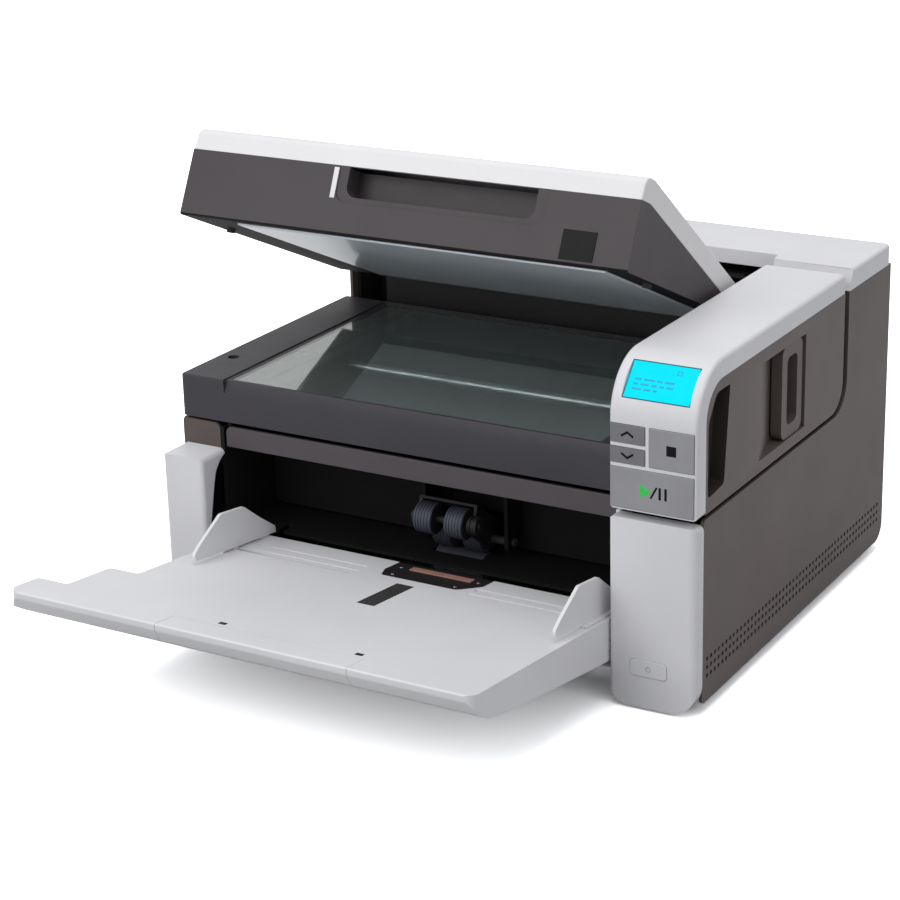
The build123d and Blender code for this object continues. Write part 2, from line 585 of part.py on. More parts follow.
def transport_roller(y):
    """A full-width driven shaft with four tyres inside the cheeks and a belt pulley outside them."""
    rod((BAY_LEFT - CHEEK - 2, PULLEY_X[1] + 1), y, ROLLER_Z, SHAFT_RADIUS)
    for x in ROLLER_XS:
        rod((x - ROLLER_WIDTH / 2, x + ROLLER_WIDTH / 2), y, ROLLER_Z, ROLLER_RADIUS)
    rod(PULLEY_X, y, ROLLER_Z, PULLEY_RADIUS)


with BuildPart() as front_transport_roller:
    transport_roller(ROLLER_YS[0])
save(front_transport_roller.part, "front_transport_roller")

with BuildPart() as rear_transport_roller:
    transport_roller(ROLLER_YS[1])
save(rear_transport_roller.part, "rear_transport_roller")

MOTOR_SHAFT = 2.0
with BuildPart() as drive_motor:
    rod((ARM_LEFT - 30, ARM_LEFT - 2), MOTOR_Y, MOTOR_Z, MOTOR_RADIUS)
    rod((ARM_LEFT - 2, ARM_LEFT), MOTOR_Y, MOTOR_Z, 9)
    rod((ARM_LEFT, PULLEY_X[1] + 2), MOTOR_Y, MOTOR_Z, MOTOR_SHAFT)
save(drive_motor.part, "drive_motor")

with BuildPart() as motor_pulley:
    rod(PULLEY_X, MOTOR_Y, MOTOR_Z, MOTOR_PULLEY)
    rod(PULLEY_X, MOTOR_Y, MOTOR_Z, MOTOR_SHAFT + SHAFT_FIT, Mode.SUBTRACT)
save(motor_pulley.part, "motor_pulley")

BELT_THICK = 1.5


def belt_loop(extra):
    """Outline that wraps the three pulleys at a distance outside their rims."""
    with BuildSketch(Plane.YZ.offset(PULLEY_X[0] + 0.5)) as loop:
        with Locations((ROLLER_YS[0], ROLLER_Z), (ROLLER_YS[1], ROLLER_Z)):
            Circle(PULLEY_RADIUS + extra)
        with Locations((MOTOR_Y, MOTOR_Z)):
            Circle(MOTOR_PULLEY + extra)
        make_hull()
    return loop.sketch


with BuildPart() as drive_belt:
    extrude(belt_loop(GAP + BELT_THICK), amount=PULLEY_X[1] - PULLEY_X[0] - 1)
    extrude(belt_loop(GAP), amount=PULLEY_X[1] - PULLEY_X[0] - 1, mode=Mode.SUBTRACT)
save(drive_belt.part, "drive_belt")

# Line sensors below and above the path, each a housing with a clear window bar and a lamp groove
SENSOR_TALL = 24.0
with BuildPart() as lower_image_sensor:
    block(SENSOR_X, SENSOR_Y, (PATH_Z - PATH_SHEET - SENSOR_TALL, PATH_Z - PATH_SHEET))
    block(window_x, window_y, (PATH_Z - PATH_SHEET, PATH_Z - 0.3))
    for y in (SENSOR_Y[0] + 3, SENSOR_Y[1] - 7):
        groove_z = (PATH_Z - PATH_SHEET - SENSOR_TALL, PATH_Z - PATH_SHEET - SENSOR_TALL + 3)
        block((SENSOR_X[0] - 1, SENSOR_X[1] + 1), (y, y + 4), groove_z, Mode.SUBTRACT)
save(lower_image_sensor.part, "lower_image_sensor")

# Main board on its standoffs, with chips, connectors and the rear data socket
BOARD_THICK = 1.6
BOARD_X = (-150.0, 116.0)
BOARD_TOP = BOARD_Z + BOARD_THICK
with BuildPart() as main_board:
    block(BOARD_X, (deep(75), REAR - SKIN - 5), (BOARD_Z, BOARD_TOP))
    for x, y, size, tall in ((-90, 110, 32, 3), (-30, 110, 22, 2.4), (-95, 215, 26, 3), (20, 215, 18, 2.4)):
        block((x, x + size), (deep(y), deep(y) + size), (BOARD_TOP, BOARD_TOP + tall))
    for i in range(5):
        block((-60 + 14 * i, -50 + 14 * i), (REAR - 47, REAR - 42), (BOARD_TOP, BOARD_TOP + 6))
    block((USB_X[0] + GAP, USB_X[1] - GAP), (REAR - 18, REAR - 0.4), (BOARD_TOP, BOARD_TOP + 11))
    socket_x = (USB_X[0] + 3.4, USB_X[1] - 3.4)
    block(socket_x, (REAR - 9, REAR), (BOARD_TOP + 2.5, BOARD_TOP + 8.5), Mode.SUBTRACT)
save(main_board.part, "main_board")

# Power supply with its appliance inlet at the rear
SUPPLY_X = (HALF - 59, HALF - 9)
SUPPLY_TOP = 108.0
SUPPLY_Y = (WALL_Y + 8, REAR - 21)
with BuildPart() as power_supply:
    block(SUPPLY_X, SUPPLY_Y, (PAN_TOP, SUPPLY_TOP))
    inlet_x = (INLET_X[0] + GAP, INLET_X[1] - GAP)
    inlet_z = (INLET_Z[0] + GAP, INLET_Z[1] - GAP)
    block(inlet_x, (SUPPLY_Y[1], REAR - 0.3), inlet_z)
    front_prism((REAR - 15, REAR), rectangle((INLET_X[0] + 2.5, INLET_X[1] - 2.5), (31, 46), 3), Mode.SUBTRACT)
    for pin, z in ((7, 36), (14, 40), (21, 36)):
        x = INLET_X[0] + pin
        block((x - 1, x + 1), (REAR - 15, REAR - 6), (z - 2, z + 2))
    with BuildSketch(Plane.XY.offset(SUPPLY_TOP)) as slots:
        with Locations(((SUPPLY_X[0] + SUPPLY_X[1]) / 2, (SUPPLY_Y[0] + SUPPLY_Y[1]) / 2)):
            with GridLocations(0, 6, 1, 6):
                SlotOverall(36, 2.4)
    extrude(slots.sketch, amount=-2, mode=Mode.SUBTRACT)
save(power_supply.part, "power_supply")

# Input tray, built in its own tilted frame: across, back along its top face, and out of that face
TILT = radians(TRAY_TILT)
TRAY_AXIS_Y = deep(TRAY_AXIS_SETBACK)
TRAY_NORMAL = (0, sin(TILT), cos(TILT))
TRAY_ORIGIN = (0, TRAY_AXIS_Y + TRAY_RISE * sin(TILT), TRAY_AXIS_Z + TRAY_RISE * cos(TILT))
TRAY_TOP = Plane(origin=TRAY_ORIGIN, x_dir=(1, 0, 0), z_dir=TRAY_NORMAL)
TRAY_FRONT = -(TRAY_REACH + TRAY_AXIS_SETBACK + TRAY_RISE * sin(TILT)) / cos(TILT)
WING_NOTCH = 34.0
SIDE_NOTCH = 81.0
WING_STEP = TRAY_LEFT - 24.5
TRAY_DEEP = 30.5
LIP_X = (-89.0, 60.0)
LIP_LENGTH = 21.0
BAR_SKIN = 10.0
BAR_FLOOR = 13.0
RAIL_WIDE = 4.0
RAIL_END = -60.0
TONGUE_W = (-8.0, -5.5)
PAD_X = (-6.0, 8.0)
PAD_V = (-75.0, -22.0)
PAD_THICK = 1.2
RACK_V = -12.0
RACK_OFFSET = 8.0
GUIDE_TRAVEL = 95.0
PLATE_OUTLINE = [(-26, -11, 3), (35, -11, 6), (47, 6, 3), (47, TRAY_REAR), (-31, TRAY_REAR), (-31, 2, 3)]
PLATE_THICK = 1.5


def tray_side(x):
    """Plane across X in the tray's frame: back along the top face, and out of it."""
    origin = (x, TRAY_ORIGIN[1], TRAY_ORIGIN[2])
    return Plane(origin=origin, x_dir=(0, cos(TILT), -sin(TILT)), z_dir=(1, 0, 0))


def tray_prism(w, corners, mode=Mode.ADD):
    """Push an outline on the tray's top face out of that face, between two limits."""
    prism(TRAY_TOP.offset(w[0]), w[1] - w[0], corners, mode)


def tray_block(x, v, w, mode=Mode.ADD):
    """Add a box in the tray's frame."""
    tray_prism(w, rectangle(x, v), mode)


TRAY_PROFILE = [
    (TRAY_FRONT, 0, 1.2),
    (TRAY_FRONT + 5 * tan(TILT), -5, 4),
    (TRAY_FRONT + 7, -13.5, 6),
    (TRAY_FRONT + 22, -20.8, 12),
    (TRAY_FRONT + 44, -23.6, 20),
    (-8.9, -TRAY_DEEP, 4),
    (9, -TRAY_DEEP, 8),
    (TRAY_REAR, -5, 2),
    (TRAY_REAR, 0),
]


def tray_outline(inset, front_inset):
    """Plan of the tray with its stepped left side, drawn in by one inset and at the front by another."""
    near = TRAY_FRONT + front_inset
    return [
        (TRAY_WING + inset, near, max(12 - front_inset, 1)),
        (TRAY_RIGHT - inset, near, max(8 - front_inset, 1)),
        (TRAY_RIGHT - inset, TRAY_REAR - inset),
        (TRAY_LEFT + inset, TRAY_REAR - inset),
        (TRAY_LEFT + inset, TRAY_FRONT + SIDE_NOTCH - inset, 3),
        (WING_STEP + inset, TRAY_FRONT + SIDE_NOTCH - inset, 3),
        (WING_STEP + inset, TRAY_FRONT + WING_NOTCH - inset, 3),
        (TRAY_WING + inset, TRAY_FRONT + WING_NOTCH - inset, 3),
    ]


with BuildPart() as input_tray:
    prism(tray_side(TRAY_WING), TRAY_RIGHT - TRAY_WING, TRAY_PROFILE)
    tray_prism((-TRAY_DEEP - 5, 5), tray_outline(0, 0), Mode.INTERSECT)
    tray_prism((-TRAY_DEEP - 5, -TRAY_SKIN), tray_outline(TRAY_SKIN, LIP_LENGTH), Mode.SUBTRACT)
    groove_v = (TRAY_FRONT + BAR_SKIN, TRAY_FRONT + LIP_LENGTH + 1)
    for x in ((TRAY_WING + 4, LIP_X[0] - TRAY_SKIN), (LIP_X[1] + TRAY_SKIN, TRAY_RIGHT - TRAY_SKIN)):
        tray_block(x, groove_v, (-BAR_FLOOR, -TRAY_SKIN), Mode.SUBTRACT)
    for x in ((TRAY_LEFT, TRAY_LEFT + 8), (TRAY_RIGHT - 8, TRAY_RIGHT)):
        rod(x, TRAY_AXIS_Y, TRAY_AXIS_Z, 9)
        rod((x[0] - 1, x[1] + 1), TRAY_AXIS_Y, TRAY_AXIS_Z, TRAY_PIN + SHAFT_FIT, Mode.SUBTRACT)
    lip_v = (TRAY_FRONT - 5, TRAY_FRONT + LIP_LENGTH)
    tray_block(LIP_X, lip_v, (-TRAY_DEEP, 5), Mode.SUBTRACT)
    for x in ((LIP_X[0] + 1, LIP_X[0] + RAIL_WIDE), (LIP_X[1] - RAIL_WIDE, LIP_X[1] - 1)):
        tray_block(x, (TRAY_FRONT + LIP_LENGTH, RAIL_END), (TONGUE_W[0] - GAP - 2, -TRAY_SKIN))
    for x in ((LIP_X[0] + 1, LIP_X[0] + RAIL_WIDE + 3), (LIP_X[1] - RAIL_WIDE - 3, LIP_X[1] - 1)):
        tray_block(x, (TRAY_FRONT + LIP_LENGTH, RAIL_END), (TONGUE_W[0] - GAP - 2, TONGUE_W[0] - GAP))
    tray_block(PAD_X, PAD_V, (-PAD_THICK, 1), Mode.SUBTRACT)
    tray_prism((-PLATE_THICK, 1), PLATE_OUTLINE, Mode.SUBTRACT)
    left_slot = (-GUIDE_X - 3, -GUIDE_X + GUIDE_TRAVEL + 3)
    front_slot = RACK_V - RACK_OFFSET - 1.9
    rear_slot = RACK_V + RACK_OFFSET - 1.9
    tray_block(left_slot, (front_slot, front_slot + 3.8), (-TRAY_SKIN - 1, 1), Mode.SUBTRACT)
    right_slot = (GUIDE_X - GUIDE_TRAVEL - 3, GUIDE_X + 3)
    tray_block(right_slot, (rear_slot, rear_slot + 3.8), (-TRAY_SKIN - 1, 1), Mode.SUBTRACT)
    disc(TRAY_TOP.offset(-TRAY_SKIN - 8), 8, [(0, RACK_V)], 2)
    for x in (-53, 53):
        tray_block((x - 1.5, x + 1.5), (TRAY_FRONT + 25, TRAY_FRONT + 28), (-0.6, 1), Mode.SUBTRACT)
save(input_tray.part, "input_tray")

with BuildPart() as tray_extender:
    inner_x = (LIP_X[0] + GAP, LIP_X[1] - GAP)
    prism(tray_side(inner_x[0]), inner_x[1] - inner_x[0], TRAY_PROFILE)
    keep_v = (TRAY_FRONT - 5, TRAY_FRONT + LIP_LENGTH - GAP)
    tray_block((LIP_X[0] - 5, LIP_X[1] + 5), keep_v, (-TRAY_DEEP, 5), Mode.INTERSECT)
    hollow_v = (TRAY_FRONT + BAR_SKIN, TRAY_FRONT + LIP_LENGTH - GAP - TRAY_SKIN)
    hollow_x = (inner_x[0] + TRAY_SKIN, inner_x[1] - TRAY_SKIN)
    tray_block(hollow_x, hollow_v, (-BAR_FLOOR, -TRAY_SKIN), Mode.SUBTRACT)
    behind_v = (hollow_v[0], TRAY_FRONT + LIP_LENGTH)
    tray_block(hollow_x, behind_v, (-BAR_FLOOR, TONGUE_W[0] - 0.5), Mode.SUBTRACT)
    tongue_v = (TRAY_FRONT + LIP_LENGTH - TRAY_SKIN, RAIL_END - 2)
    tray_block((LIP_X[0] + RAIL_WIDE + GAP, LIP_X[1] - RAIL_WIDE - GAP), tongue_v, TONGUE_W)
save(tray_extender.part, "tray_extender")

# Side guides with racks under the tray, turned together by one pinion
TOOTH_PITCH = 3.2
PINION_TEETH = 16
PITCH_RADIUS = PINION_TEETH * TOOTH_PITCH / (2 * pi)
RACK_W = (-TRAY_SKIN - 6, -TRAY_SKIN - 1)
RACK_BAR = 3.0
RACK_PAST = 12.0
TOOTH_OUT = 0.9
TOOTH_IN = 1.2
GUIDE_PROFILE = [
    (-71, 42, 4),
    (-56, 51.7, 8),
    (-30, 65.5, 6),
    (-2, 61.3, 6),
    (17, 46.4, 8),
    (36, 33, 3),
    (36, 28, 0),
]


def guide_corners():
    """The guide's fin in the tray's frame, from heights measured at the posts' front and the seam."""
    fin = []
    for back, up, radius in GUIDE_PROFILE:
        dy = back - TRAY_AXIS_SETBACK
        dz = up + 31 - TRAY_AXIS_Z
        v = dy * cos(TILT) - dz * sin(TILT)
        w = max(dy * sin(TILT) + dz * cos(TILT) - TRAY_RISE, GAP)
        fin.append((v, w, radius if w > GAP else 0))
    return fin


def side_guide(side):
    """One guide: fin and foot above the tray, a stem through its slot, and a toothed rack below."""
    x = side * GUIDE_X
    rack_v = RACK_V + side * RACK_OFFSET
    fin_x = (x - GUIDE_THICK / 2, x + GUIDE_THICK / 2)
    prism(tray_side(fin_x[0]), GUIDE_THICK, guide_corners())
    foot = sorted((x + side * GUIDE_THICK / 2, x + side * (GUIDE_THICK / 2 + 3)))
    tray_block(foot, (RACK_V - 22, RACK_V + 22), (GAP, GAP + 1.6))
    tray_block(fin_x, (rack_v - 1.6, rack_v + 1.6), (RACK_W[0], GAP + 1))
    pitch_v = RACK_V + side * PITCH_RADIUS
    root_v = pitch_v + side * TOOTH_IN
    back_v = root_v + side * RACK_BAR
    tray_block(fin_x, sorted((rack_v, back_v)), RACK_W)
    bar_x = sorted((x + side * GUIDE_THICK / 2, -side * RACK_PAST))
    count = int((GUIDE_X + RACK_PAST / 2) / TOOTH_PITCH)
    past = int(RACK_PAST / TOOTH_PITCH)
    places = [(side * TOOTH_PITCH * (i + 0.5 - past), 0) for i in range(count)]
    tip_v = pitch_v - side * TOOTH_OUT
    with BuildSketch(TRAY_TOP.offset(RACK_W[0])) as rack:
        with Locations(((bar_x[0] + bar_x[1]) / 2, (root_v + back_v) / 2)):
            Rectangle(bar_x[1] - bar_x[0], RACK_BAR)
        foot_v = root_v + side * 0.1
        with Locations(*places):
            Polygon((-1.15, foot_v), (-0.42, tip_v), (0.42, tip_v), (1.15, foot_v), align=None)
    extrude(rack.sketch, amount=RACK_W[1] - RACK_W[0])


with BuildPart() as left_side_guide:
    side_guide(-1)
save(left_side_guide.part, "left_side_guide")

with BuildPart() as right_side_guide:
    side_guide(1)
save(right_side_guide.part, "right_side_guide")

with BuildPart() as guide_pinion:
    with BuildSketch(TRAY_TOP.offset(RACK_W[0])) as gear:
        with Locations((0, RACK_V)):
            Circle(PITCH_RADIUS - TOOTH_IN)
            with PolarLocations(0, PINION_TEETH, start_angle=90):
                root = PITCH_RADIUS - TOOTH_IN - 0.2
                tip = PITCH_RADIUS + TOOTH_OUT
                Polygon((root, -0.95), (tip, -0.42), (tip, 0.42), (root, 0.95), align=None)
            Circle(2 + SHAFT_FIT, mode=Mode.SUBTRACT)
    extrude(gear.sketch, amount=RACK_W[1] - RACK_W[0])
save(guide_pinion.part, "guide_pinion")

with BuildPart() as tray_friction_pad:
    tray_block(PAD_X, PAD_V, (-PAD_THICK, 0.1))
save(tray_friction_pad.part, "tray_friction_pad")

with BuildPart() as pre_separation_plate:
    tray_prism((-PLATE_THICK, 0), PLATE_OUTLINE)
    tray_block((-15, 35), (9, 16), (0, 0.8))
    disc(TRAY_TOP, 0.5, [(-20, -5), (31, -5), (-23, 12), (40, 12)], 1.6)
save(pre_separation_plate.part, "pre_separation_plate")

CAP_SKIN = 3.0
CAP_X = ARM_LEFT + 0.2
ARM_INNER = (CAP_X + CAP_SKIN, HALF - CAP_SKIN)

# Pod frame: deck under the flatbed and arm, the box that dips between the posts, and the hinge arms
DECK = 2.5
DIP_SKIN = 2.5
BAY_CEILING = BAND_Z + 1
MODULE_EARS = ((-33.0, -30.0), (35.0, 38.0))
FEED_Y = deep(74)
FEED_Z = 70.0
FEED_RADIUS = 11.5
FEED_SHAFT = 3.0
ARM_LEG = (BED_Z + DECK, BED_Z + DECK + 12)
UPPER_SENSOR_Y = (deep(126), deep(162))
POD_FRONT = BED_FRONT + 3
BED_SKIN = 2.5
with BuildPart() as pod_frame:
    deck_z = (BED_Z, BED_Z + DECK)
    block((-HALF + BED_SKIN, ARM_INNER[1]), (BED_FRONT + BED_SKIN, POD_REAR - POD_CORNER), deck_z)
    block((-HALF + BED_SKIN, ARM_LEFT), (POD_REAR - POD_CORNER, POD_REAR - BED_SKIN), deck_z)
    block(ARM_INNER, (deep(12), BED_FRONT + BED_SKIN), deck_z)
    for wall in ((DIP_LEFT, DIP_LEFT + DIP_SKIN), (DIP_RIGHT - DIP_SKIN, DIP_RIGHT)):
        block(wall, (POD_FRONT, POD_REAR - BED_SKIN), (BAY_CEILING, BED_Z))
        block(wall, (deep(BAY_DEPTH), POD_REAR - BED_SKIN), (POD_PATH_Z, BED_Z))
    block((DIP_LEFT, DIP_RIGHT), (POD_FRONT, deep(BAY_DEPTH)), (BAY_CEILING, BAY_CEILING + DIP_SKIN))
    back_wall = (deep(BAY_DEPTH), deep(BAY_DEPTH) + DIP_SKIN)
    block((DIP_LEFT, DIP_RIGHT), back_wall, (POD_PATH_Z, BED_Z))
    floor_z = (POD_PATH_Z, POD_PATH_Z + DIP_SKIN)
    block((DIP_LEFT, DIP_RIGHT), (deep(BAY_DEPTH), POD_REAR - BED_SKIN), floor_z)
    rear_wall = (POD_REAR - BED_SKIN - DIP_SKIN, POD_REAR - BED_SKIN)
    block((DIP_LEFT, DIP_RIGHT), rear_wall, (POD_PATH_Z, BED_Z))
    upper_middle = (UPPER_SENSOR_Y[0] + UPPER_SENSOR_Y[1]) / 2
    upper_window = (upper_middle - SENSOR_GLASS, upper_middle + SENSOR_GLASS)
    block(window_x, upper_window, (POD_PATH_Z - 1, floor_z[1]), Mode.SUBTRACT)
    notch_x = (MODULE_EARS[0][1] + 1, MODULE_EARS[1][0] - 1)
    notch_y = (back_wall[0] - 1, back_wall[1] + 0.01)
    block(notch_x, notch_y, (POD_PATH_Z - 1, FEED_Z + FEED_RADIUS + 4), Mode.SUBTRACT)
    for ear in MODULE_EARS:
        outline = [
            (FEED_Y - 8, FEED_Z - 8, 7),
            (FEED_Y + 8, FEED_Z - 8, 7),
            (deep(BAY_DEPTH), FEED_Z + 6),
            (deep(BAY_DEPTH), BAY_CEILING),
            (FEED_Y - 8, BAY_CEILING),
        ]
        side_prism(ear, outline)
        rod((ear[0] - 1, ear[1] + 1), FEED_Y, FEED_Z, FEED_SHAFT + SHAFT_FIT, Mode.SUBTRACT)
    for side in (-1, 1):
        limits = sorted((side * POD_ARM_X[0], side * POD_ARM_X[1]))
        arm = [
            (POD_REAR - 40, ARM_LEG[0]),
            (HINGE_Y + 7, ARM_LEG[0], 6),
            (HINGE_Y + 7, HINGE_Z),
            (HINGE_Y - 7, HINGE_Z),
            (HINGE_Y - 7, ARM_LEG[1], 4),
            (POD_REAR - 40, ARM_LEG[1]),
        ]
        side_prism(limits, arm)
        rod(limits, HINGE_Y, HINGE_Z, 9)
        rod((limits[0] - 1, limits[1] + 1), HINGE_Y, HINGE_Z, SHAFT_RADIUS, Mode.SUBTRACT)
save(pod_frame.part, "pod_frame")

with BuildPart() as hinge_shaft:
    rod((-INSIDE + 0.2, INSIDE - 0.2), HINGE_Y, HINGE_Z, SHAFT_RADIUS)
save(hinge_shaft.part, "hinge_shaft")

with BuildPart() as lower_front_band:
    band = [
        (DIP_LEFT, BAND_Z),
        (DIP_RIGHT, BAND_Z),
        (DIP_RIGHT, BAND_Z + BAND_TALL),
        (DIP_LEFT, BAND_Z + BAND_TALL, 5),
    ]
    front_prism((BED_FRONT, POD_FRONT), band)
save(lower_front_band.part, "lower_front_band")

with BuildPart() as upper_image_sensor:
    block(SENSOR_X, UPPER_SENSOR_Y, (POD_PATH_Z + DIP_SKIN, POD_PATH_Z + DIP_SKIN + SENSOR_TALL))
    block(window_x, upper_window, (POD_PATH_Z + 0.3, POD_PATH_Z + DIP_SKIN))
save(upper_image_sensor.part, "upper_image_sensor")

# Flatbed housing with its glass, rail and scan carriage
GLASS_X = (-HALF + GLASS_LEFT, ARM_LEFT - GLASS_RIGHT)
GLASS_Y = (BED_FRONT + GLASS_FRONT, POD_REAR - GLASS_REAR)
STEP_TOP = BED_TOP - BED_STEP
LEDGE = 3.0
BUMPERS = [(13 - HALF, deep(78)), (ARM_LEFT - 13, deep(78))]
RAIL_Z = 156.0
RAIL_Y = (GLASS_Y[0] + GLASS_Y[1]) / 2
RAIL_RADIUS = 4.0
RAIL_X = (-HALF + BED_SKIN, ARM_LEFT - BED_SKIN)
BOOK_EDGE_Z = BED_Z + 21.5
BUMPER_DROP = 3.0
with BuildPart() as flatbed_housing:
    block((-HALF, ARM_LEFT), (BED_FRONT, POD_REAR), (BED_Z, BED_TOP))
    fillet(flatbed_housing.edges().filter_by(Axis.Z).sort_by(Axis.X)[:2], 3)
    fillet(flatbed_housing.faces().sort_by(Axis.X)[0].edges().sort_by(Axis.Z)[-1], 1.5)
    cavity_x = (-HALF + BED_SKIN, ARM_LEFT - BED_SKIN)
    block(cavity_x, (BED_FRONT + BED_SKIN, POD_REAR - BED_SKIN), (BED_Z, BED_TOP - 5), Mode.SUBTRACT)
    deck_y = (BED_FRONT + BED_SKIN, POD_REAR)
    block((ARM_LEFT - BED_SKIN, ARM_LEFT), deck_y, deck_z, Mode.SUBTRACT)
    step_x = (-HALF + GLASS_LEFT - 4, ARM_LEFT + 1)
    block(step_x, (BED_FRONT - 1, GLASS_Y[1] + 3), (STEP_TOP, BED_TOP + 1), Mode.SUBTRACT)
    book_edge = [
        (BED_FRONT - 0.01, BOOK_EDGE_Z),
        (BED_FRONT + 4, STEP_TOP + 0.01),
        (BED_FRONT - 0.01, STEP_TOP + 0.01),
    ]
    side_prism((step_x[0] + 0.5, ARM_LEFT), book_edge, Mode.SUBTRACT)
    block(GLASS_X, GLASS_Y, (STEP_TOP - GLASS_THICK - 0.2, BED_TOP), Mode.SUBTRACT)
    inner_x = (GLASS_X[0] + LEDGE, GLASS_X[1] - LEDGE)
    block(inner_x, (GLASS_Y[0] + LEDGE, GLASS_Y[1] - LEDGE), (BED_Z, BED_TOP), Mode.SUBTRACT)
    disc(Plane.XY.offset(BED_TOP - BUMPER_DROP), BUMPER_DROP + 1, BUMPERS, 4.4, Mode.SUBTRACT)
    corner_y = (POD_REAR - POD_CORNER, POD_REAR + 1)
    block((-HALF - 1, -HALF + BED_SKIN), corner_y, (BED_Z - 1, BED_Z + POD_CORNER), Mode.SUBTRACT)
    round_corner = [
        (POD_REAR - POD_CORNER - 5, BED_Z),
        (POD_REAR, BED_Z, POD_CORNER),
        (POD_REAR, BED_Z + POD_CORNER + 5),
        (POD_REAR - POD_CORNER - 5, BED_Z + POD_CORNER + 5),
    ]
    side_prism((-HALF, -HALF + BED_SKIN), round_corner)
    slot_x = (-POD_ARM_X[1] - 1, -POD_ARM_X[0] + 1)
    block(slot_x, (POD_REAR - 3, POD_REAR + 1), (BED_Z, ARM_LEG[1] + 1), Mode.SUBTRACT)
save(flatbed_housing.part, "flatbed_housing")

with BuildPart() as platen_glass:
    block(GLASS_X, GLASS_Y, (STEP_TOP - GLASS_THICK - 0.2, STEP_TOP - 0.2))
save(platen_glass.part, "platen_glass")

with BuildPart() as carriage_rail:
    rod(RAIL_X, RAIL_Y, RAIL_Z, RAIL_RADIUS)
save(carriage_rail.part, "carriage_rail")

CARRIAGE_WIDE = 26.0
CARRIAGE_X = GLASS_X[0] + 8
CARRIAGE_TOP = STEP_TOP - GLASS_THICK - 3
with BuildPart() as scan_carriage:
    carriage_x = (CARRIAGE_X, CARRIAGE_X + CARRIAGE_WIDE)
    carriage_y = (GLASS_Y[0] + LEDGE + 2, GLASS_Y[1] - LEDGE - 2)
    block(carriage_x, carriage_y, (RAIL_Z - 7, CARRIAGE_TOP))
    lens = (CARRIAGE_X + 9, CARRIAGE_X + 17)
    block(lens, (carriage_y[0] + 8, carriage_y[1] - 8), (CARRIAGE_TOP - 2, CARRIAGE_TOP + 1), Mode.SUBTRACT)
    through = (carriage_x[0] - 1, carriage_x[1] + 1)
    rod(through, RAIL_Y, RAIL_Z, RAIL_RADIUS + SHAFT_FIT, Mode.SUBTRACT)
save(scan_carriage.part, "scan_carriage")

# Control arm: light cap with a rounded nose, dark side panel, display, buttons and their board
ARM_BOTTOM = BED_Z + 1
KEY_LEFT = ARM_LEFT + 1
KEY_RIGHT = HALF - 2
ARROW_COLUMN = 28.0
KEY_SPLIT = ARM_LEFT + ARROW_COLUMN
RIB = 2.4
KEY_TOP = 203.2
START_TOP = 173.2
ARROW_SPLIT = 188.5
DISPLAY_TILT = 48.0
DISPLAY_WIDE = 48.4
DISPLAY_TALL = 27.4
DISPLAY_SINK = 2.6
NOSE_Y = deep(ARM_NOSE)
NOSE_Z = ARM_TOP - ARM_NOSE
DISPLAY_OUT = (0, -sin(radians(DISPLAY_TILT)), cos(radians(DISPLAY_TILT)))


def display_plane(from_centre):
    """Plane across the arm's nose at a distance from the nose's centre line."""
    y = NOSE_Y + DISPLAY_OUT[1] * from_centre
    z = NOSE_Z + DISPLAY_OUT[2] * from_centre
    middle = (ARM_LEFT + HALF) / 2 + 0.5
    return Plane(origin=(middle, y, z), x_dir=(1, 0, 0), z_dir=DISPLAY_OUT)


def key_openings(grow):
    """Limits in X and Z of the four keys, grown or shrunk on every side."""
    low = ARM_BOTTOM + 0.8
    keys = {
        "button_start": ((KEY_LEFT, KEY_RIGHT), (low, START_TOP)),
        "button_down": ((KEY_LEFT, KEY_SPLIT - RIB / 2), (START_TOP + RIB, ARROW_SPLIT - RIB / 2)),
        "button_up": ((KEY_LEFT, KEY_SPLIT - RIB / 2), (ARROW_SPLIT + RIB / 2, KEY_TOP)),
        "button_stop": ((KEY_SPLIT + RIB / 2, KEY_RIGHT), (START_TOP + RIB, KEY_TOP)),
    }
    grown = {}
    for name, (x, z) in keys.items():
        grown[name] = ((x[0] - grow, x[1] + grow), (z[0] - grow, z[1] + grow))
    return grown


def arm_profile(inset, bottom):
    """Side outline of the arm: rounded nose, flat top and the round lower rear corner."""
    return [
        (FRONT + inset, bottom),
        (FRONT + inset, ARM_TOP - inset, ARM_NOSE - inset),
        (POD_REAR - inset, ARM_TOP - inset, 3),
        (POD_REAR - inset, bottom, POD_CORNER - inset),
    ]


